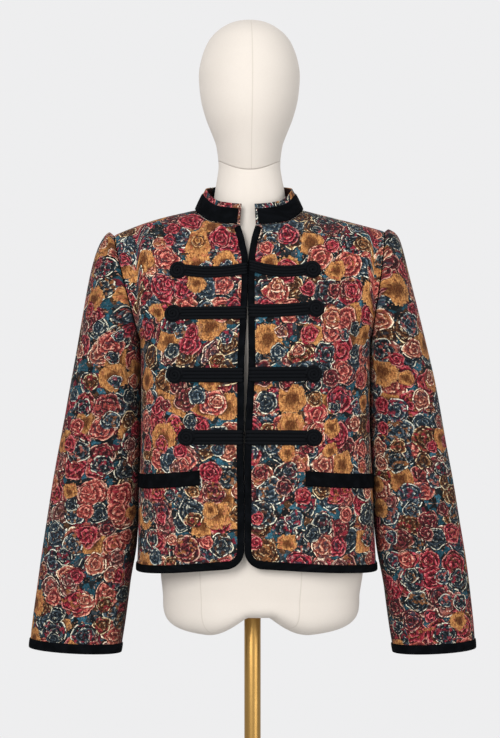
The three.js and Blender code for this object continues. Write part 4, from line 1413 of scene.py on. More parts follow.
class BodyPart:
    """The fronts and the back, with their bound edges, welts and frogs."""

    CORNER_ROWS = 14
    LOW_ROWS = 118
    HIGH_ROWS = 58
    COLUMNS = 84
    CROWD_TOP = 0.6
    CROWD_SIDES = 0.7
    FRONT_SHIFT = 12.0
    BACK_SHIFT = 900.0
    EDGE_PLACES = 150
    TURN_PLACES = 22
    HEM_PLACES = 74
    BACK_HEM_PLACES = 76
    WELT_PLACES = 70
    WELT_CROWD = 0.9
    WELT_SHARES = (0.0, 0.004, 0.02, 0.07, 0.16, 0.3, 0.5, 0.7, 0.84, 0.93, 0.98, 0.996, 1.0)
    SEAT_RINGS = 9
    SEAT_AROUND = 40

    def __init__(self, looks: Looks) -> None:
        """Prepares the panels.

        Args:
            looks: the shared materials.
        """
        self.looks = looks
        self.panels = {
            (side, face): Panel(side, face, CREASES[(face, side)]) for side in Side for face in Face
        }
        self.pieces: Dict[str, bpy.types.Object] = {}

    def _rows(self) -> Array:
        """The rows of the meshes, closer together at the hem, the neck and the shoulder."""
        b = BODY_SIZES
        turn = np.linspace(0.0, math.pi / 2.0, self.CORNER_ROWS)
        corner = height_to_v(b.corner * (1.0 - np.cos(turn)))
        low = np.linspace(corner[-1], b.v_neck, self.LOW_ROWS)[1:]
        high = b.v_neck + (b.v_shoulder - b.v_neck) * graded(self.HIGH_ROWS, self.CROWD_TOP)[1:]
        return np.concatenate([corner, low, high])

    def front(self, side: Side) -> bpy.types.Object:
        """Builds one front."""
        panel = self.panels[(side, Face.FRONT)]
        rows = self._rows()
        height = rows * (float(neck_point(1.0, 0.0)[2]) - BODY_SIZES.hem_front) / BODY_SIZES.v_neck
        start = corner_start(height)
        last = panel.length(rows) - BODY_SIZES.seam / 2.0
        s = start[:, None] + (last - start)[:, None] * graded(self.COLUMNS, self.CROWD_SIDES)[None, :]
        v = np.broadcast_to(rows[:, None], s.shape)
        points = panel.creased(v, s)
        flat = panel.flat(v, s) + np.array([side.sign * self.FRONT_SHIFT, 0.0])
        skin = Skin().add(points, flat).facing(body_middle(points).reshape(-1, 3))
        return sew_cloth(skin, f"front_{side.value}", BODY_SIZES.cloth, self.looks)

    def back(self) -> bpy.types.Object:
        """Builds the back, one piece with its middle on the fold."""
        rows = self._rows()
        even = graded(self.COLUMNS, 0.0)
        share = lerp(even, np.sin(even * math.pi / 2.0), self.CROWD_SIDES)
        skin = Skin()
        for side in Side:
            panel = self.panels[(side, Face.BACK)]
            last = panel.length(rows) - BODY_SIZES.seam / 2.0
            s = last[:, None] * share[None, :]
            v = np.broadcast_to(rows[:, None], s.shape)
            flat = panel.flat(v, s) + np.array([self.BACK_SHIFT, 0.0])
            skin.add(panel.creased(v, s), flat, flip=side is Side.RIGHT)
        skin.weld().facing(body_middle(skin.points))
        return sew_cloth(skin, "back", BODY_SIZES.cloth, self.looks)

    def binding(self, side: Side) -> bpy.types.Object:
        """Builds the binding down the front edge, round the corner and along the hem."""
        panel = self.panels[(side, Face.FRONT)]
        b = BODY_SIZES
        span = float(neck_point(1.0, 0.0)[2]) - b.hem_front
        top_height = (b.v_neck - TRIMS.binding_top) * span / b.v_neck
        right = math.pi / 2.0
        places: List[Tuple[Array, Array, Array]] = []
        inset, off = Strip(TRIMS.binding, TRIMS.lift, TRIMS.thick).profile()
        for height in np.linspace(top_height, b.corner, self.EDGE_PLACES):
            places.append((np.full(len(inset), height), inset, off))
        for turn in np.linspace(0.0, right, self.TURN_PLACES)[1:]:
            width = lerp(TRIMS.binding, TRIMS.hem, turn / right)
            inset, off = Strip(width, TRIMS.lift, TRIMS.thick).profile()
            radius = b.corner - inset
            places.append((b.corner - radius * math.sin(turn), b.corner - radius * math.cos(turn), off))
        inset, off = Strip(TRIMS.hem, TRIMS.lift, TRIMS.thick).profile()
        length = panel.length(np.maximum(height_to_v(inset), 0.0)) - b.seam
        for share in np.linspace(0.0, 1.0, self.HEM_PLACES)[1:]:
            places.append((inset, lerp(b.corner, length, share), off))
        heights, s, out = np.array(places).transpose(1, 0, 2)
        points = panel.at(np.maximum(height_to_v(heights), 0.0), s, out)
        points[..., 2] += np.minimum(heights, 0.0)
        return sew_trim(points, f"binding_{side.value}", self.looks)

    def hem_band(self) -> bpy.types.Object:
        """Builds the band along the back's hem."""
        b = BODY_SIZES
        inset, off = Strip(TRIMS.hem, TRIMS.lift, TRIMS.thick).profile()
        row = np.maximum(height_to_v(inset), 0.0)
        share = np.linspace(0.0, 1.0, self.BACK_HEM_PLACES)[:, None]
        halves = []
        for side in Side:
            panel = self.panels[(side, Face.BACK)]
            points = panel.at(row, (panel.length(row) - b.seam) * share, off)
            points[..., 2] += np.minimum(inset, 0.0)
            halves.append(points)
        return sew_trim(np.concatenate([halves[0][:0:-1], halves[1]]), "hem_band_back", self.looks)

    def welt(self, side: Side) -> bpy.types.Object:
        """Builds a pocket welt, a stiffened strip with rounded edges."""
        panel = self.panels[(side, Face.FRONT)]
        w = TRIMS
        start = panel.start(np.array([(w.welt_low + w.welt_high) / 2.0]))[0]
        first = abs(side.sign * w.welt_start - start[0])
        across = np.array(self.WELT_SHARES)
        v = w.welt_low + (w.welt_high - w.welt_low) * across
        last = float(np.min(panel.length(v))) - BODY_SIZES.seam
        s = first + (last - first) * graded(self.WELT_PLACES, self.WELT_CROWD)
        side_in = np.minimum(1.0, np.minimum(s - first, last - s) / w.welt_end)
        rise = np.sqrt(np.maximum(side_in, 0.0))[:, None] * pillow(across, w.welt_edge)[None, :]
        out = w.welt_foot + rise * (w.welt_lift + w.welt_thick - w.welt_foot)
        return sew_trim(panel.at(v[None, :], s[:, None], out), f"welt_{side.value}", self.looks)

    def _closed(self, points: Array, flat: Array, radius: float) -> Tuple[Array, Array]:
        """A cord's rings with the first place again at the end, and their places on the cut.

        Args:
            points: rings along the cord.
            flat: their places on the cut.
            radius: the cord's radius, in millimetres.

        Returns:
            The closed rings and their places.
        """
        round_trip = np.array([[0.0, 2.0 * math.pi * radius]])
        ends = (points[:, :1], flat[:, :1] + round_trip)
        return np.concatenate([points, ends[0]], axis=1), np.concatenate([flat, ends[1]], axis=1)

    def _bar(self, side: Side, row: int) -> Skin:
        """Half a frog's bar: four cords side by side, from the front edge to the coil.

        Args:
            side: the front that it is sewn to.
            row: the frog's number from the top, from nought.

        Returns:
            The cords.
        """
        panel = self.panels[(side, Face.FRONT)]
        f = FROGS
        at = FROG_ROWS[side][row]
        half = at.half * f.swell
        sign = side.sign
        v, _ = panel.row_of(np.array(sign * f.look_x), np.array(at.inner))
        edge = float(panel.start(np.atleast_1d(v))[0, 0]) + sign * f.edge_gap
        disc_x = sign * SIDES[side].bars[row]
        t = np.linspace(0.0, 1.0, f.bar_places)
        pull = 2 * at.bend - (at.inner + at.disc) / 2
        middle = (1 - t) ** 2 * at.inner + 2 * t * (1 - t) * pull + t * t * at.disc
        skin = Skin()
        thick = half / f.cords
        for k in range(f.cords):
            offset = half * (1.0 - (2.0 * k + 1.0) / f.cords)
            stop = disc_x - sign * math.sqrt(max(0.0, (f.disc - 1.0) ** 2 - offset * offset))
            x = lerp(edge, stop, t)
            over = lerp(f.over_trim, TRIMS.lift, smooth(f.ramp_from, f.ramp_to, np.abs(x - edge)))
            rows, s = panel.row_of(x, middle + offset)
            path = panel.at(rows, s, over + thick * f.plump - f.bar_sink)
            off = panel.at(rows, s, over + thick + 2.0)
            radius = thick * f.bar_fat * np.minimum(1.0, f.bar_start + f.bar_grow * np.sqrt(t))
            points, flat = tube(path, radius, unit(off - path), f.around, f.bar_flat)
            skin.add(*self._closed(points, flat, thick))
        return skin

    def _coil(self, side: Side, row: int) -> Skin:
        """Half a frog's round end: a coiled cord on a small padded seat.

        Args:
            side: the front that it is sewn to.
            row: the frog's number from the top, from nought.

        Returns:
            The coil and its seat.
        """
        panel = self.panels[(side, Face.FRONT)]
        f = FROGS
        disc = FROG_ROWS[side][row].disc
        disc_x = side.sign * SIDES[side].bars[row]
        w = np.linspace(0.0, 1.0, f.coil_places)
        cord = f.disc / (2.0 * f.turns + f.turn_gap)
        reach = (f.disc - cord) * (1.0 - w) + cord * f.heart * w
        angle = 2.0 * math.pi * f.turns * w * -side.sign + (math.pi if side is Side.RIGHT else 0.0)
        rows, s = panel.row_of(disc_x + reach * np.cos(angle), disc + reach * np.sin(angle))
        rise = TRIMS.lift + cord * f.plump - f.coil_sink + f.coil_rise * w
        path = panel.at(rows, s, rise)
        off = panel.at(rows, s, rise + 3.0)
        radius = np.full(f.coil_places, cord * f.coil_fat)
        points, flat = tube(path, radius, unit(off - path), f.around, f.coil_flat)
        coil = Skin().add(*self._closed(points, flat, cord))
        spread = np.linspace(0.0, 1.0, self.SEAT_RINGS)[:, None]
        around = np.linspace(0.0, 2.0 * math.pi, self.SEAT_AROUND, endpoint=False)[None]
        out = (f.disc - f.seat_in) * spread
        rows, s = panel.row_of(disc_x + out * np.cos(around), disc + out * np.sin(around))
        seat = panel.at(rows, s, TRIMS.lift + f.seat_in - f.seat_drop * (spread > f.seat_rim))
        return coil.add(np.concatenate([seat, seat[:, :1]], axis=1))

    def frog(self, side: Side, row: int) -> None:
        """Builds half a frog, its bar and its coil.

        Args:
            side: the front that it is sewn to.
            row: the frog's number from the top, from nought.
        """
        for part, made in (("bar", self._bar(side, row)), ("coil", self._coil(side, row))):
            node = f"frog_{row + 1}_{part}_{side.value}"
            obj = made.build(f"{node}_cords", [self.looks.cord])
            self.pieces[node] = settle(obj, Slot.CORD, node)

    def build(self) -> None:
        """Builds every piece of the jacket's body."""
        self.pieces["back"] = self.back()
        self.pieces["hem_band_back"] = self.hem_band()
        for side in Side:
            self.pieces[f"front_{side.value}"] = self.front(side)
            self.pieces[f"binding_{side.value}"] = self.binding(side)
            self.pieces[f"welt_{side.value}"] = self.welt(side)
            for row in range(len(FROG_ROWS[side])):
                self.frog(side, row)
        for side in Side:
            name = side.value
            on_it = [self.pieces[f"binding_{name}"], self.pieces[f"welt_{name}"]]
            on_it += [self.pieces[f"frog_{k + 1}_{p}_{name}"] for k in range(4) for p in ("bar", "coil")]
            cut = CUTS[f"front_{name}"]
            cut.flat
        cut = CUTS["back"]
        cut.flat


class SleevePart:
    """A sleeve and its cuff band."""

    HEAD_PLACES = 26
    HEAD_CROWD = 1.4
    HEAD_RINGS = 2.0
    LONG_PLACES = 170
    ROUND_PLACES = 133
    CUFF_PLACES = 120
    CUFF_UNDER = 9.0
    CUT_ROUND = 1700.0
    CUT_UP = 752.0

    def __init__(self, side: Side, looks: Looks) -> None:
        """Prepares the sleeve's shape.

        Args:
            side: the side of the jacket.
            looks: the shared materials.
        """
        self.side = side
        self.looks = looks
        self.shape = SleeveShape(side, SLEEVE_CREASES[side])

    def build(self) -> None:
        head = np.linspace(0.0, 1.0, self.HEAD_PLACES) ** self.HEAD_CROWD * self.HEAD_RINGS
        arm = np.linspace(self.HEAD_RINGS, self.shape.LAST, self.LONG_PLACES)[1:]
        angle = np.linspace(-180.0, 180.0, self.ROUND_PLACES)
        grid_r, grid_a = np.meshgrid(np.concatenate([head, arm]), angle, indexing="ij")
        points = self.shape.creased(grid_r, grid_a)
        round_, up = self.shape.flat(grid_r, grid_a)
        sign = self.side.sign
        flat = pairs(round_ * -sign + sign * self.CUT_ROUND, up + self.CUT_UP)
        skin = Skin().add(points, flat).facing(self.shape.middle(grid_r).reshape(-1, 3))
        obj = sew_cloth(skin, f"sleeve_{self.side.value}", BODY_SIZES.cloth, self.looks)
        band = self.cuff()
        cut = CUTS[f"sleeve_{self.side.value}"]
        cut.flat

    def cuff(self) -> bpy.types.Object:
        """Builds the band round the cuff."""
        inset, off = Strip(SLEEVE.cuff, TRIMS.band_lift, TRIMS.thick, under=self.CUFF_UNDER).profile()
        last = self.shape.LAST
        ends = [self.shape.rings.at(name, np.array([last - 1.0, last])) for name in ("outer_x", "outer_z")]
        run = math.hypot(*[float(end[1] - end[0]) for end in ends])
        angle = np.linspace(0.0, 360.0, self.CUFF_PLACES, endpoint=False) - 180.0
        grid_a, grid_r = np.meshgrid(angle, last - np.maximum(inset, 0.0) / run, indexing="ij")
        points = self.shape.at(grid_r, grid_a, off[None, :])
        points[..., 2] += np.minimum(inset, 0.0)
        skin = Skin().add(np.swapaxes(points, 0, 1), closed=True)
        skin.facing(self.shape.middle(np.swapaxes(grid_r, 0, 1)).reshape(-1, 3))
        obj = skin.build(f"cuff_band_{self.side.value}_strip", [self.looks.trim])
        return settle(obj, Slot.TRIM, f"cuff_band_{self.side.value}")


class CollarPart:
    """The stand collar and its band."""

    TURNS = 220
    ROWS = 20
    CROWD = 0.5
    CUT_ROUND = 60.0
    CUT_UP = 520.0
    BAND_CROWD = 0.9
    BAND_SHARES = (0.0, 0.004, 0.02, 0.06, 0.14, 0.3, 0.5, 0.7, 0.86, 0.94, 0.98, 0.996, 1.0)
    BAND_EDGE = 0.06
    BAND_FOOT = 0.1
    BAND_ENDS = 5.0

    def __init__(self, looks: Looks) -> None:
        """Prepares the collar's shape."""
        self.looks = looks
        self.shape = CollarShape()
        self.middle = np.array([NECK.x, NECK.y, COLLAR.middle_z])

    def build(self) -> None:
        turn = self.shape.first + (self.shape.last - self.shape.first) * graded(self.TURNS, self.CROWD)
        height = COLLAR.height * graded(self.ROWS, self.CROWD)
        grid_h, grid_t = np.meshgrid(height, turn, indexing="ij")
        flat = pairs(self.shape.run(grid_t) + self.CUT_ROUND, grid_h + self.CUT_UP)
        skin = Skin().add(self.shape.at(grid_t, grid_h), flat).facing(self.middle)
        obj = sew_cloth(skin, "collar", COLLAR.cloth, self.looks)
        band = self.band()
        cut = CUTS["collar"]
        cut.flat

    def band(self) -> bpy.types.Object:
        """Builds the band on the outside of the collar."""
        end = math.degrees(COLLAR.end_strip / NECK.front)
        span = self.shape.last - self.shape.first - 2 * end
        turn = (self.shape.first + end) + span * graded(self.TURNS, self.BAND_CROWD)
        share = np.array(self.BAND_SHARES)
        height = COLLAR.band_foot + (COLLAR.band - COLLAR.band_foot) * share
        count = np.arange(self.TURNS + 1)
        ends = np.sqrt(clamp(np.minimum(count, count[::-1]) / self.BAND_ENDS))
        rise = pillow(share, self.BAND_EDGE)[:, None] * ends[None, :]
        out = self.BAND_FOOT + rise * (TRIMS.thick + TRIMS.band_lift - self.BAND_FOOT)
        skin = Skin().add(self.shape.at(turn[None, :], height[:, None], out)).facing(self.middle)
        obj = skin.build("collar_band_strip", [self.looks.trim])
        return settle(obj, Slot.TRIM, "collar_band")


class DressForm:
    """The form's head and body."""

    AROUND = 144
    HEAD_PLACES = 110
    BODY_PLACES = 150
    LOBE_PLACES = 34
    LOBE_FIRST = 0.2
    LOBE_LAST = 88.6
    HEAD_ROUND = 60.0
    BODY_ROUND = 120.0
    CROWN = (-4.7, 4.0, 1700.0)

    def __init__(self, looks: Looks) -> None:
        """Keeps the materials."""
        self.looks = looks

    def _rings(self, table: Table, count: int) -> Dict[str, Array]:
        """Sizes of many rings between the table's own."""
        last = float(table.columns["i"][-1])
        where = np.linspace(0.0, last, count)[:, None]
        return {name: table.at(name, where) for name in FORM_NAMES.split()[1:]}

    def _finish(self, skin: Skin, name: str, node: str) -> bpy.types.Object:
        """Builds a closed linen piece."""
        middle = np.array([0.0, 0.0, float(np.mean(skin.points[:, 2]))])
        skin.facing(middle)
        return settle(skin.build(name, [self.looks.linen]), Slot.LINEN, node)

    def head(self) -> bpy.types.Object:
        """Builds the plain egg-shaped head."""
        angle = np.linspace(0.0, 2.0 * math.pi, self.AROUND + 1)[None, :]
        points = ring_points(self._rings(HEAD_RINGS, self.HEAD_PLACES), angle)
        over_rim = points[..., 2] - points[:1, :, 2] + HEAD_FOOT
        flat = pairs(angle * self.HEAD_ROUND, over_rim)
        seat = points.mean(axis=1)
        bottom = lerp(seat[0], points[0], np.linspace(0.0, 1.0, 5)[:, None, None])[:-1]
        cap = lerp(points[-1], np.array(self.CROWN), np.array([0.5, 1.0])[:, None, None])
        whole = np.concatenate([bottom, points, cap])
        low = np.broadcast_to(flat[:1], (len(bottom),) + flat.shape[1:])
        high = np.broadcast_to(flat[-1:], (len(cap),) + flat.shape[1:])
        skin = Skin().add(whole, np.concatenate([low, flat, high]))
        return self._finish(skin, "form_head_linen", "form_head")

    def body(self) -> bpy.types.Object:
        """Builds the torso and neck, with the two lobes at its foot."""
        angle = np.linspace(0.0, 2.0 * math.pi, self.AROUND + 1)[None, :]
        points = ring_points(self._rings(BODY_RINGS, self.BODY_PLACES), angle)
        edge = {name: float(BODY_RINGS.columns[name][0]) for name in FORM_NAMES.split()[1:]}
        middle = (edge["front"] + edge["back"]) / 2.0
        lobes = []
        for turn in np.linspace(self.LOBE_FIRST, self.LOBE_LAST, self.LOBE_PLACES)[::-1]:
            share = math.cos(math.radians(turn)) ** LOBES.square
            down = math.sin(math.radians(turn)) ** LOBES.square
            half = max(edge["half"] * share, LOBES.flat)
            front = min(lerp(middle, edge["front"], share), middle - LOBES.flat)
            back = max(lerp(middle, edge["back"], share), middle + LOBES.flat)
            out = np.maximum(0.0, np.abs(half * np.cos(angle)) - LOBES.flat) / LOBES.reach
            lobe = np.sin(math.pi / 2.0 * np.minimum(1.0, out)) ** LOBES.power
            z = edge["z"] - (edge["z"] - LOBES.notch + LOBES.drop * lobe) * down
            values = {"x": lerp(LOBES.x, edge["x"], share), "half": half, "front": front,
                      "back": back, "dip": 0.0, "round": edge["round"], "z": 0.0}
            ring = ring_points(values, angle)
            ring[..., 2] = z
            lobes.append(ring[0])
        notch = lobes[0].mean(axis=0) * [1.0, 1.0, 0.0] + [0.0, 0.0, LOBES.notch]
        shut = lerp(notch, lobes[0], np.linspace(0.0, 1.0, 4)[:, None, None])[:-1]
        seat = points[-1].mean(axis=0)
        cap = lerp(points[-1], seat, np.linspace(0.0, 1.0, 5)[1:, None, None])
        whole = np.concatenate([shut, np.array(lobes), points, cap])
        flat = pairs(angle * self.BODY_ROUND, whole[..., 2])
        return self._finish(Skin().add(whole, flat), "form_body_linen", "form_body")

    def build(self) -> None:
        """Builds both parts."""
        self.head()
        self.body()


class Stand:
    """The brass pole, its socket and the round base."""

    AROUND = 128
    BEVEL = 0.0006

    def __init__(self, looks: Looks) -> None:
        """Keeps the materials."""
        self.looks = looks

    def turned(self, name: str, node: str, profile: Sequence[Tuple[float, float]]) -> None:
        """Builds a turned piece.

        Args:
            name: the piece's name.
            node: the node that it stands for.
            profile: radius and height pairs, in millimetres.
        """
        rows = np.array(profile)
        angle = np.linspace(0.0, 2.0 * math.pi, self.AROUND + 1)[None, :]
        r, z = rows[:, :1], rows[:, 1:]
        points = stack(r * np.cos(angle), r * np.sin(angle), z)
        skin = Skin().add(points, pairs(angle * r, z)).facing(np.array([0.0, 0.0, float(rows[:, 1].mean())]))
        obj = skin.build(name, [self.looks.brass])
        bevel = obj.modifiers.new("edges", "BEVEL")
        bevel.width = self.BEVEL
        bevel.segments = 2
        settle(obj, Slot.BRASS, node)

    def build(self) -> None:
        """Builds the pole, socket and base."""
        s = STAND
        top = LOBES.notch - s.gap
        foot = s.thick + s.gap
        high = foot + s.socket_height
        inner = s.pole + s.socket_gap
        self.turned("pole_tube", "pole", [(0.0, foot), (s.pole, foot), (s.pole, top), (0.0, top)])
        self.turned("pole_socket_turned", "pole_socket", [
            (inner, foot), (s.socket, foot), (s.socket, high - s.socket_round),
            (s.socket - 0.8, high - 1.0), (s.socket - s.socket_round, high), (inner, high),
            (inner, foot),
        ])
        self.turned("base_plate_turned", "base_plate", [
            (0.0, 0.0), (s.base, 0.0), (s.base, s.thick - s.edge),
            (s.base - 0.9, s.thick - 0.9), (s.base - s.edge, s.thick), (0.0, s.thick),
        ])


Feed = Union["Value", float, int, Tuple[float, ...]]


class Value:
    """A socket that gives a value, with arithmetic that makes nodes."""

    def __init__(self, graph: "Graph", socket: bpy.types.NodeSocket) -> None:
        """Keeps the graph and the socket."""
        self.graph = graph
        self.socket = socket

    def __add__(self, other: Feed) -> "Value":
        """This plus the other."""
        return self.graph.math("ADD", self, other)

    def __radd__(self, other: Feed) -> "Value":
        """The other plus this."""
        return self.graph.math("ADD", other, self)

    def __sub__(self, other: Feed) -> "Value":
        """This less the other."""
        return self.graph.math("SUBTRACT", self, other)

    def __rsub__(self, other: Feed) -> "Value":
        """The other less this."""
        return self.graph.math("SUBTRACT", other, self)

    def __mul__(self, other: Feed) -> "Value":
        """This times the other."""
        return self.graph.math("MULTIPLY", self, other)

    def __rmul__(self, other: Feed) -> "Value":
        """The other times this."""
        return self.graph.math("MULTIPLY", other, self)

    def __truediv__(self, other: Feed) -> "Value":
        """This over the other."""
        return self.graph.math("DIVIDE", self, other)

    def __rtruediv__(self, other: Feed) -> "Value":
        """The other over this."""
        return self.graph.math("DIVIDE", other, self)

    def __gt__(self, other: Feed) -> "Value":
        """1 where this is more than the other."""
        return self.graph.math("GREATER_THAN", self, other)

    def __lt__(self, other: Feed) -> "Value":
        """1 where this is less than the other."""
        return self.graph.math("LESS_THAN", self, other)

    def fract(self) -> "Value":
        """The part after the point."""
        return self.graph.math("FRACT", self)

    def floor(self) -> "Value":
        """The whole number below."""
        return self.graph.math("FLOOR", self)

    def sin(self) -> "Value":
        """The sine, of radians."""
        return self.graph.math("SINE", self)

    def abs(self) -> "Value":
        """The size without its sign."""
        return self.graph.math("ABSOLUTE", self)

    def power(self, exponent: Feed) -> "Value":
        """This to a power."""
        return self.graph.math("POWER", self, exponent)


@dataclass
class CellPlace:
    """What one cell of a scatter gives: distance, three random numbers and its middle."""

    distance: Value
    first: Value
    second: Value
    third: Value
    middle: Value


class Graph:
    """The node tree of one material, or of the world."""

    def __init__(self, name: str, world: bool = False) -> None:
        """Starts a material or a world with a shader and nothing fed to it.

        Args:
            name: its name.
            world: whether it is the world's.
        """
        self.material = (bpy.data.worlds if world else bpy.data.materials).new(name)
        self.material.use_nodes = True
        self.tree = self.material.node_tree
        self.shader = self.tree.nodes["Background" if world else "Principled BSDF"]
        self.count = 0

    def node(self, kind: str, settings: Dict[str, object],
             feeds: Dict[Union[str, int], Feed]) -> bpy.types.Node:
        """Makes a node.

        Args:
            kind: the node's type.
            settings: its own settings, set first.
            feeds: the values or links of its input sockets, by name or place.

        Returns:
            The node.
        """
        made = self.tree.nodes.new(kind)
        made.location = (220.0 * (self.count % 24) - 6000.0, -260.0 * (self.count // 24))
        self.count += 1
        for key, value in settings.items():
            setattr(made, key, value)
        for key, value in feeds.items():
            socket = made.inputs[key]
            if isinstance(value, Value):
                self.tree.links.new(value.socket, socket)
            elif isinstance(value, tuple) and socket.type == "RGBA" and len(value) == 3:
                socket.default_value = (*value, 1.0)
            else:
                socket.default_value = value
        return made

    def value(self, node: bpy.types.Node, name: Union[str, int] = 0) -> Value:
        """A node's output."""
        return Value(self, node.outputs[name])

    def math(self, kind: str, a: Feed, b: Feed = 0.0, c: Feed = 0.0) -> Value:
        """Arithmetic on numbers."""
        return self.value(self.node("ShaderNodeMath", {"operation": kind}, {0: a, 1: b, 2: c}))

    def vector(self, kind: str, a: Feed, b: Feed = (0.0, 0.0, 0.0)) -> Value:
        """Arithmetic on vectors."""
        return self.value(self.node("ShaderNodeVectorMath", {"operation": kind}, {0: a, 1: b}))

    def length(self, a: Feed) -> Value:
        """The length of a vector."""
        node = self.node("ShaderNodeVectorMath", {"operation": "LENGTH"}, {0: a})
        return self.value(node, "Value")

    def split(self, a: Feed) -> Tuple[Value, Value, Value]:
        """A vector's three numbers."""
        node = self.node("ShaderNodeSeparateXYZ", {}, {0: a})
        return self.value(node, 0), self.value(node, 1), self.value(node, 2)

    def join(self, x: Feed, y: Feed, z: Feed = 0.0) -> Value:
        """A vector of three numbers."""
        return self.value(self.node("ShaderNodeCombineXYZ", {}, {0: x, 1: y, 2: z}))

    def step(self, low: Feed, high: Feed, a: Feed) -> Value:
        """A soft step from 0 to 1 as a value goes from low to high."""
        settings = {"interpolation_type": "SMOOTHSTEP", "clamp": True}
        feeds = {"Value": a, "From Min": low, "From Max": high}
        return self.value(self.node("ShaderNodeMapRange", settings, feeds), "Result")

    def mix(self, share: Feed, a: Feed, b: Feed, kind: str = "MIX") -> Value:
        """A colour between two others.

        Args:
            share: how much of the second.
            a: the first colour.
            b: the second colour.
            kind: how they are mixed.

        Returns:
            The colour.
        """
        settings = {"data_type": "RGBA", "blend_type": kind, "clamp_factor": True}
        node = self.node("ShaderNodeMix", settings, {0: share, 6: a, 7: b})
        return self.value(node, 2)

    def noise(self, place: Feed, scale: float, detail: float = 2.0, rough: float = 0.5) -> Value:
        """Soft noise from 0 to 1."""
        feeds = {"Vector": place, "Scale": scale, "Detail": detail, "Roughness": rough}
        return self.value(self.node("ShaderNodeTexNoise", {"noise_dimensions": "2D"}, feeds), 0)

    def warp(self, place: Feed, scale: float, reach: float) -> Value:
        """A place moved about by noise.

        Args:
            place: the place.
            scale: the noise's scale.
            reach: how far it moves, in metres.

        Returns:
            The moved place.
        """
        feeds = {"Vector": place, "Scale": scale, "Detail": 1.0}
        node = self.node("ShaderNodeTexNoise", {"noise_dimensions": "2D"}, feeds)
        away = self.vector("SUBTRACT", self.value(node, "Color"), (0.5, 0.5, 0.5))
        moved = self.vector("MULTIPLY", away, (reach, reach, 0.0))
        return self.vector("ADD", place, moved)

    def speckle(self, place: Feed) -> Value:
        """A random number for each different place."""
        node = self.node("ShaderNodeTexWhiteNoise", {"noise_dimensions": "2D"}, {"Vector": place})
        return self.value(node, "Value")

    def scatter(self, place: Feed, size: float, loose: float) -> CellPlace:
        """Cells of a size, each with its own middle and random numbers.

        Args:
            place: the place.
            size: the cells' size, in metres.
            loose: how far the middles stray, from 0 to 1.

        Returns:
            The cell that the place is in.
        """
        settings = {"voronoi_dimensions": "2D", "feature": "F1"}
        feeds = {"Vector": place, "Scale": 1.0 / size, "Randomness": loose}
        node = self.node("ShaderNodeTexVoronoi", settings, feeds)
        rnd = self.split(self.value(node, "Color"))
        return CellPlace(self.value(node, "Distance"), *rnd, self.value(node, "Position"))

    def choose(self, share: Feed, colours: Sequence[Tuple[float, Tuple[float, float, float]]],
               kind: str = "CONSTANT") -> Value:
        """A colour picked by a number.

        Args:
            share: the number, from 0 to 1.
            colours: where each colour starts, and the colour.
            kind: how colours pass into each other.

        Returns:
            The colour.
        """
        node = self.node("ShaderNodeValToRGB", {}, {0: share})
        ramp = node.color_ramp
        ramp.interpolation = kind
        while len(ramp.elements) < len(colours):
            ramp.elements.new(1.0)
        for element, (start, colour) in zip(ramp.elements, colours):
            element.position = start
            element.color = (*colour, 1.0)
        return self.value(node, 0)

    def cut(self) -> Value:
        """Places on the flat cut, in metres."""
        return self.value(self.node("ShaderNodeUVMap", {"uv_map": "Cut"}, {}), 0)

    def bump(self, height: Feed, distance: float, strength: float = 1.0,
             under: Optional[Value] = None) -> Value:
        """A bumped normal.

        Args:
            height: the height, from 0 to 1.
            distance: the height in metres that 1 stands for.
            strength: how much of it shows.
            under: a normal that it lies on.

        Returns:
            The normal.
        """
        feeds: Dict[Union[str, int], Feed] = {"Height": height, "Distance": distance, "Strength": strength}
        if under is not None:
            feeds["Normal"] = under
        return self.value(self.node("ShaderNodeBump", {}, feeds), 0)

    def finish(self, feeds: Dict[str, Feed]) -> bpy.types.Material:
        """Feeds the shader and gives the material.

        Args:
            feeds: the shader's inputs, by name.

        Returns:
            The material.
        """
        for key, value in feeds.items():
            if isinstance(value, Value):
                self.tree.links.new(value.socket, self.shader.inputs[key])
            elif isinstance(value, tuple):
                self.shader.inputs[key].default_value = (*value, 1.0)
            else:
                self.shader.inputs[key].default_value = value
        return self.material


def shade(code: str) -> Tuple[float, float, float]:
    """A colour in linear light from its six hexadecimal digits."""
    parts = [int(code[i:i + 2], 16) / 255.0 for i in (0, 2, 4)]
    linear = [p / 12.92 if p <= 0.04045 else ((p + 0.055) / 1.055) ** 2.4 for p in parts]
    return (linear[0], linear[1], linear[2])


@dataclass(frozen=True)
class RoseColour:
    """The threads of one kind of rose: deep, body, edge and line, and how often it comes."""

    share: float
    deep: str
    body: str
    edge: str
    line: str


@dataclass(frozen=True)
class RoseLayer:
    """One scatter of roses over the cloth, in metres."""

    size: float
    radius: float
    loose: float
    rings: float
    shift: Tuple[float, float, float]
    keep: float
    warp: float


OCHRE = (0.35, 0.47)


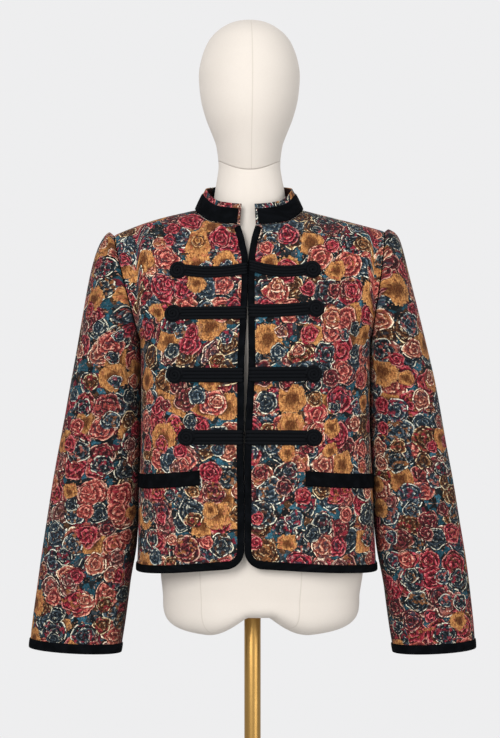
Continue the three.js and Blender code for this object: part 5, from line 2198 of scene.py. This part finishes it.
@dataclass(frozen=True)
class JacquardFinish:
    """The woven rose cloth, matt, with stepped edges where threads change, and painted shade on the sleeves.
    """

    thread: float = 0.0006
    rough: float = 0.86
    specular: float = 0.10
    sheen: float = 0.02
    colours: Tuple[RoseColour, ...] = (
        RoseColour(0.0, "2b0a10", "8a2230", "c25560", "d6958a"),
        RoseColour(0.18, "4a161a", "a04740", "dc8a78", "ecc0a4"),
        RoseColour(0.28, "1e1214", "5a2227", "8e3c40", "dfb7a0"),
        RoseColour(OCHRE[0], "4a2613", "8d5a33", "c08a52", "dcb27c"),
        RoseColour(OCHRE[1], "0d1013", "262f37", "4a565e", "d4d0bb"),
        RoseColour(0.64, "22130e", "543322", "875a34", "e6d0a6"),
        RoseColour(0.73, "4a1c1c", "a05748", "d39a7c", "f5e2c4"),
        RoseColour(0.81, "12191f", "2b3945", "566671", "d6d6c6"),
        RoseColour(0.94, "2c1a1c", "6b3d3a", "a5716a", "ead4bd"),
    )
    layers: Tuple[RoseLayer, ...] = (
        RoseLayer(0.034, 0.0190, 0.62, 2.6, (0.013, 0.007, 0.0), 0.92, 0.008),
        RoseLayer(0.042, 0.0190, 0.80, 2.9, (0.317, 0.191, 0.0), 0.82, 0.006),
        RoseLayer(0.033, 0.0120, 0.85, 2.2, (0.733, 0.529, 0.0), 0.62, 0.005),
    )
    ground: Tuple[Tuple[float, str], ...] = (
        (0.0, "121416"), (0.24, "214755"), (0.42, "1c2124"), (0.54, "2f5c6d"), (0.66, "333c42"),
        (0.74, "5e1c28"), (0.83, "1b424e"), (0.92, "4a3220"),
    )

    def _palette(self, g: Graph, share: Value, part: str) -> Value:
        """One of the four threads of the kind of rose that a number picks."""
        rows = [(colour.share, shade(getattr(colour, part))) for colour in self.colours]
        return g.choose(share, rows)

    def _roses(self, g: Graph, place: Value, layer: RoseLayer) -> Tuple[Value, Value, Value, Value]:
        """Draws one scatter of roses.

        Args:
            g: the graph.
            place: the place on the cut, in threads.
            layer: the scatter.

        Returns:
            Where the roses are, their colour, their relief and the shade they cast.
        """
        moved = g.warp(g.vector("ADD", place, layer.shift), 58.0, layer.warp)
        cell = g.scatter(moved, layer.size, layer.loose)
        local = g.vector("SUBTRACT", moved, cell.middle)
        x, y, _ = g.split(local)
        turn = g.math("ARCTAN2", y, x)
        five = (turn * 5.0 + cell.first * 6.283).sin() * 0.045
        three = (turn * 3.0 - cell.second * 6.283).sin() * 0.05
        reach = (cell.third * 0.34 + 0.78) * (five + three + 1.0) * layer.radius
        ochre = (cell.first > OCHRE[0]) * (cell.first < OCHRE[1])
        jag = g.noise(g.join(turn * 0.03, cell.second), 300.0, 1.0)
        away = g.length(local) / (reach * (ochre * 0.14 + 1.0)) + ochre * (jag - 0.5) * 0.4
        ring = (away * layer.rings).floor()
        petal = (turn * (3.0 / 6.2832) + ring * 0.371 + cell.first * 5.0).fract()
        bulge = 1.0 - (petal * 2.0 - 1.0).power(2.0)
        rough = g.noise(place, 300.0, 2.0, 0.6)
        spiral = (away * layer.rings + turn / 6.2832 + bulge * 0.36 + cell.second + rough * 0.9).fract()
        streak = g.step(0.42, 0.60, g.noise(g.join(x, y * 0.22), 520.0, 2.0, 0.6))
        tone = g.step(0.12, 0.85, spiral) * (1.0 - ochre) + ochre * g.step(0.1, 0.6, away - streak * 0.3)
        patch = g.noise(place, 150.0, 1.0)
        deep = self._palette(g, cell.first, "deep")
        body = self._palette(g, cell.first, "body")
        edge = self._palette(g, cell.first, "edge")
        line = self._palette(g, cell.first, "line")
        colour = g.mix(tone, deep, body)
        lit = g.step(0.45, 0.95, spiral) * g.step(0.40, 0.62, patch)
        colour = g.mix(lit * (1.0 - ochre) + ochre * streak * 0.85, colour, edge)
        daub = g.step(0.54, 0.62, g.noise(place, 120.0, 2.0, 0.6))
        colour = g.mix(daub * (0.7 - ochre * 0.35), colour, self._palette(g, cell.second, "body"))
        dark = g.step(0.58, 0.64, g.noise(place, 170.0, 2.0, 0.6))
        colour = g.mix(dark * 0.75, colour, deep)
        broken = g.step(0.52, 0.58, g.noise(place, 250.0, 1.0))
        stroke = g.step(0.80, 0.86, spiral) * broken * g.step(0.20, 0.30, away)
        stroke = stroke * (1.0 - ochre * 0.9)
        colour = g.mix(stroke * 0.7, colour, line)
        crack = (1.0 - g.step(0.05, 0.15, spiral)) * (1.0 - broken) * (1.0 - ochre)
        colour = g.mix(crack * 0.8, colour, shade("0a0a0d"))
        heart = 1.0 - g.step(ochre * jag * 0.5 + 0.02, ochre * (jag * 0.5 + 0.10) + 0.22, away)
        colour = g.mix(heart * 0.85, colour, deep)
        rim = g.step(0.915, 0.935, away) * g.step(0.46, 0.52, g.noise(place, 150.0, 1.0))
        warm = cell.first < OCHRE[0]
        colour = g.mix(rim * (1.0 - ochre * 0.7 - warm * 0.35), colour, line)
        inside = (away < 1.0) * (cell.second < layer.keep)
        cast = (1.0 - g.step(0.98, 1.16, away)) * (cell.second < layer.keep)
        relief = tone * 0.5 + stroke * 0.5 + rim * 0.4
        return inside, colour, relief, cast

    def build(self) -> bpy.types.Material:
        """Makes the material."""
        g = Graph("jacquard")
        flat = g.cut()
        step = (self.thread, self.thread, 1.0)
        place = g.vector("SNAP", flat, step)
        leaf = g.scatter(g.warp(place, 90.0, 0.007), 0.0085, 0.9)
        colour = g.choose(leaf.first, [(start, shade(code)) for start, code in self.ground])
        vein = g.step(0.5, 0.62, g.noise(place, 420.0, 1.0))
        colour = g.mix(vein * 0.5, colour, shade("0d0f11"))
        spark = g.step(0.66, 0.7, g.noise(place, 260.0, 2.0))
        colour = g.mix(spark * 0.8, colour, shade("b98a72"))
        relief = vein * 0.2
        for layer in self.layers:
            inside, roses, raised, cast = self._roses(g, place, layer)
            colour = g.mix(cast * 0.7, colour, shade("090a0c"))
            colour = g.mix(inside, colour, roses)
            relief = relief * (1.0 - inside) + raised * inside
        across, up, _ = g.split(flat)
        weft = g.speckle(g.join(0.0, (up / self.thread).floor()))
        cross = g.speckle(g.vector("ADD", place, (0.17, 0.31, 0.0)))
        # painted shade: the sleeves' inner sides, next to the body, are up to 72% darker, standing for the
        # shadow in the gap between sleeve and body
        painted_underarm_shade = g.step(0.142, 0.166, (across.abs() - 1.7).abs()) * (across.abs() > 1.3)
        grain = g.step(0.30, 0.70, g.noise(place, 430.0, 2.0, 0.7)) * 0.66 + 0.75
        # painted shade: all sleeve cloth is 16% darker, standing for the sleeves lying in shade
        sleeve = 1.0 - (across.abs() > 1.3) * 0.16
        # the threads' own tone and grain, times the painted shade on the sleeves and their inner sides
        light = (weft * 0.22 + cross * 0.42 + 0.69) * (1.0 - painted_underarm_shade * 0.72) * grain * sleeve
        colour = g.mix(1.0, colour, g.join(light, light, light), "MULTIPLY")
        rows = ((up * (math.pi / self.thread)).sin()).abs()
        ribs = ((across * (math.pi / (2.0 * self.thread))).sin()).abs()
        weave = rows * 0.6 + ribs * 0.4
        normal = g.bump(weave, 0.00022, 0.8)
        normal = g.bump(relief, 0.0005, 0.7, normal)
        rough = self.rough - relief * 0.1
        return g.finish({
            "Base Color": colour, "Roughness": rough, "Normal": normal,
            "Specular IOR Level": self.specular, "Sheen Weight": self.sheen,
            "Sheen Roughness": 0.5,
        })


@dataclass(frozen=True)
class ReverseFinish:
    """The wrong side of the jacquard: dull, dark, with loose threads that run across."""

    def build(self) -> bpy.types.Material:
        """Makes the material."""
        g = Graph("jacquard_reverse")
        place = g.vector("SNAP", g.cut(), (0.0006, 0.0006, 1.0))
        across, up, _ = g.split(place)
        floats = g.noise(g.join(across * 0.25, up), 420.0, 2.0)
        patch = g.noise(place, 46.0, 2.0)
        colour = g.mix(g.step(0.4, 0.62, patch), shade("14161a"), shade("3a2522"))
        colour = g.mix(g.step(0.52, 0.6, floats) * 0.6, colour, shade("5c3a35"))
        colour = g.mix(g.step(0.6, 0.66, g.noise(place, 200.0)) * 0.4, colour, shade("27414a"))
        normal = g.bump(floats, 0.0004, 0.8)
        return g.finish({
            "Base Color": colour, "Roughness": 0.92, "Normal": normal,
            "Specular IOR Level": 0.15,
        })


@dataclass(frozen=True)
class TrimFinish:
    """Black twill with a dull face."""

    colour: str = "040506"
    worn: str = "101216"
    rib: float = 0.0009

    def build(self) -> bpy.types.Material:
        """Makes the material."""
        g = Graph("black_trim")
        flat = g.cut()
        x, y, _ = g.split(flat)
        twill = ((x + y) * (math.pi / self.rib)).sin().abs()
        patch = g.noise(flat, 60.0, 3.0)
        fluff = g.noise(flat, 1400.0, 1.0)
        share = g.step(0.35, 0.75, patch) * 0.4 + fluff * 0.25 + twill * 0.12
        colour = g.mix(share, shade(self.colour), shade(self.worn))
        normal = g.bump(twill * 0.7 + fluff * 0.3, 0.00025, 0.7)
        return g.finish({
            "Base Color": colour, "Roughness": 0.95 - patch * 0.1, "Normal": normal,
            "Specular IOR Level": 0.02,
        })


@dataclass(frozen=True)
class CordFinish:
    """Black braided cord, with painted highlights on the crests of its braid."""

    colour: str = "030405"
    # the lighter colour of the braid's crests: a painted highlight
    raised: str = "16181c"
    pitch: float = 0.0016

    def build(self) -> bpy.types.Material:
        """Makes the material."""
        g = Graph("black_cord")
        flat = g.cut()
        x, y, _ = g.split(flat)
        one = ((x + y * 1.3) * (math.pi / self.pitch)).sin().abs()
        two = ((x - y * 1.3) * (math.pi / self.pitch)).sin().abs()
        braid = g.math("MAXIMUM", one, two)
        hair = g.noise(flat, 1800.0, 1.0)
        # painted highlight: the braid's crests are mixed towards the lighter colour, standing for sheen on
        # the cord; the hair noise adds the fibres' own fuzz tone
        colour = g.mix(braid * 0.45 + hair * 0.2, shade(self.colour), shade(self.raised))
        normal = g.bump(braid * 0.8 + hair * 0.2, 0.0004, 0.9)
        return g.finish({
            "Base Color": colour, "Roughness": 0.78 - hair * 0.1, "Normal": normal,
            "Specular IOR Level": 0.035,
        })


@dataclass(frozen=True)
class LinenFinish:
    """Fine off-white linen, pulled tight over the form."""

    colour: str = "d3ccc4"
    shadow: str = "c5bdb4"
    seam: str = "8f8474"
    thread: float = 0.0007

    def _seams(self, g: Graph, x: Value, y: Value) -> Value:
        """Where the linen's panels are joined: on the head, at the chin and down the body.

        Args:
            g: the graph.
            x: the place round, in metres.
            y: the height.

        Returns:
            One on a seam and nought off it.
        """
        rim = HEAD_FOOT / 1000.0
        found = (1.0 - g.step(rim + 0.0007, rim + 0.0018, y)) * (y > rim - 0.01) * 0.3
        for seam in FORM_SEAMS:
            line = 1.0 - g.step(0.0003, 0.0011, (x - seam.place).abs())
            found = found + line * (y > seam.low) * (y < seam.high)
        return g.math("MINIMUM", found, 1.0)

    def build(self) -> bpy.types.Material:
        """Makes the material."""
        g = Graph("linen")
        flat = g.cut()
        x, y, _ = g.split(flat)
        slub = g.noise(g.join(x * 0.3, y), 900.0, 2.0)
        slub_up = g.noise(g.join(x, y * 0.3), 900.0, 2.0)
        patch = g.noise(flat, 18.0, 3.0)
        colour = g.mix(patch * 0.35 + slub * 0.25 + slub_up * 0.2, shade(self.colour), shade(self.shadow))
        seam = self._seams(g, x, y)
        colour = g.mix(seam * 0.24, colour, shade(self.seam))
        weave = (x * (math.pi / self.thread)).sin().abs() * (y * (math.pi / self.thread)).sin().abs()
        normal = g.bump(weave * 0.5 + slub * 0.5, 0.00012, 0.6)
        normal = g.bump(1.0 - seam, 0.0002, 0.6, normal)
        return g.finish({
            "Base Color": colour, "Roughness": 0.86 - slub * 0.08, "Normal": normal,
            "Specular IOR Level": 0.2, "Sheen Weight": 0.08, "Sheen Roughness": 0.6,
        })


@dataclass(frozen=True)
class BrassFinish:
    """Brushed brass."""

    colour: str = "bc9658"
    dull: str = "8a6634"

    def build(self) -> bpy.types.Material:
        """Makes the material."""
        g = Graph("brass")
        flat = g.cut()
        x, y, _ = g.split(flat)
        brushed = g.noise(g.join(x, y * 0.02), 900.0, 3.0)
        patch = g.noise(flat, 22.0, 3.0)
        colour = g.mix(brushed * 0.4 + patch * 0.3, shade(self.colour), shade(self.dull))
        rough = brushed * 0.16 + patch * 0.08 + 0.2
        normal = g.bump(brushed, 0.00004, 0.5)
        return g.finish({
            "Base Color": colour, "Roughness": rough, "Metallic": 1.0, "Normal": normal,
        })


def make_looks() -> Looks:
    """Makes every material."""
    return Looks(
        jacquard=JacquardFinish().build(), reverse=ReverseFinish().build(),
        trim=TrimFinish().build(), cord=CordFinish().build(), linen=LinenFinish().build(),
        brass=BrassFinish().build(),
    )


@dataclass(frozen=True)
class CameraSizes:
    """Where the photograph was taken from, in millimetres."""

    x: float = -3.75
    y: float = -2600.0
    z: float = 1176.5
    lens: float = 84.55
    sensor: float = 36.0
    clip: float = 50.0


@dataclass(frozen=True)
class Light:
    """A soft square light: its name, place and side in metres, and its power in watts."""

    name: str
    place: Tuple[float, float, float]
    side: float
    power: float
    colour: Tuple[float, float, float] = (1.0, 0.99, 0.975)


class Studio:
    """The camera, the lights and the floor."""

    LIGHTS = (
        Light("key", (-1.1, -2.9, 2.3), 1.5, 76.0),
        Light("fill", (2.2, -2.0, 1.3), 1.6, 24.0),
        Light("rim", (0.5, 3.0, 2.2), 1.6, 30.0),
    )
    AIM = (0.0, 0.0, 1.15)
    WORLD_FRONT = (0.855, 0.855, 0.862)
    WORLD_SIDES = (0.58, 0.58, 0.585)
    FLOOR_RINGS = (0.0, 600.0, 1400.0, 2300.0)
    FLOOR_AROUND = 96
    FLOOR_DROP = 0.2
    FLOOR_COLOUR = (0.55, 0.55, 0.55, 1.0)
    FLOOR_ROUGH = 0.8

    def __init__(self, sizes: CameraSizes) -> None:
        """Keeps the camera's place.

        Args:
            sizes: the camera's place and lens.
        """
        self.sizes = sizes

    def camera(self) -> None:
        """Makes the camera, level and looking at the front."""
        data = bpy.data.cameras.new("camera")
        data.sensor_width = self.sizes.sensor
        data.lens = self.sizes.lens
        data.clip_end = self.sizes.clip
        obj = bpy.data.objects.new("camera", data)
        bpy.context.scene.collection.objects.link(obj)
        obj.location = Vector((self.sizes.x, self.sizes.y, self.sizes.z)) * MM
        obj.rotation_euler = (math.pi / 2.0, 0.0, 0.0)
        bpy.context.scene.camera = obj

    def light(self, light: Light) -> None:
        """Makes a soft square light that faces the jacket.

        Args:
            light: its place, size, power and colour.
        """
        data = bpy.data.lights.new(light.name, "AREA")
        data.shape = "SQUARE"
        data.size = light.side
        data.energy = light.power
        data.color = light.colour
        obj = bpy.data.objects.new(light.name, data)
        bpy.context.scene.collection.objects.link(obj)
        obj.location = light.place
        away = Vector(light.place) - Vector(self.AIM)
        obj.rotation_euler = away.to_track_quat("Z", "Y").to_euler()

    def world(self) -> None:
        """Makes the pale surroundings, dimmer at both sides so that brass gets its dark edges."""
        g = Graph("studio", world=True)
        way = g.value(g.node("ShaderNodeTexCoord", {}, {}), "Generated")
        x, _, _ = g.split(way)
        dim = g.step(0.30, 0.75, x.abs())
        colour = g.mix(dim, self.WORLD_FRONT, self.WORLD_SIDES)
        g.tree.links.new(colour.socket, g.shader.inputs["Color"])
        bpy.context.scene.world = g.material

    def floor(self) -> None:
        """Makes the plain round floor."""
        angle = np.linspace(0.0, 2.0 * math.pi, self.FLOOR_AROUND + 1)[None, :]
        r = np.array(self.FLOOR_RINGS)[:, None]
        points = stack(r * np.cos(angle), r * np.sin(angle), -self.FLOOR_DROP)
        skin = Skin().add(points).facing(np.array([0.0, 0.0, -500.0]))
        material = bpy.data.materials.new("floor")
        material.use_nodes = True
        shader = material.node_tree.nodes["Principled BSDF"]
        shader.inputs["Base Color"].default_value = self.FLOOR_COLOUR
        shader.inputs["Roughness"].default_value = self.FLOOR_ROUGH
        obj = skin.build("floor", [material])

    def build(self) -> None:
        """Makes everything of the studio."""
        bpy.context.scene.view_settings.view_transform = "Standard"
        self.camera()
        self.world()
        for light in self.LIGHTS:
            self.light(light)
        self.floor()


def main() -> None:
    """Builds the jacket, the form it hangs on and the studio."""
    logging.basicConfig(level=logging.INFO, format="%(name)s %(message)s")
    looks = make_looks()
    DressForm(looks).build()
    Stand(looks).build()
    BodyPart(looks).build()
    for side in Side:
        SleevePart(side, looks).build()
    CollarPart(looks).build()
    Studio(CameraSizes()).build()


if __name__ == "__main__":
    main()
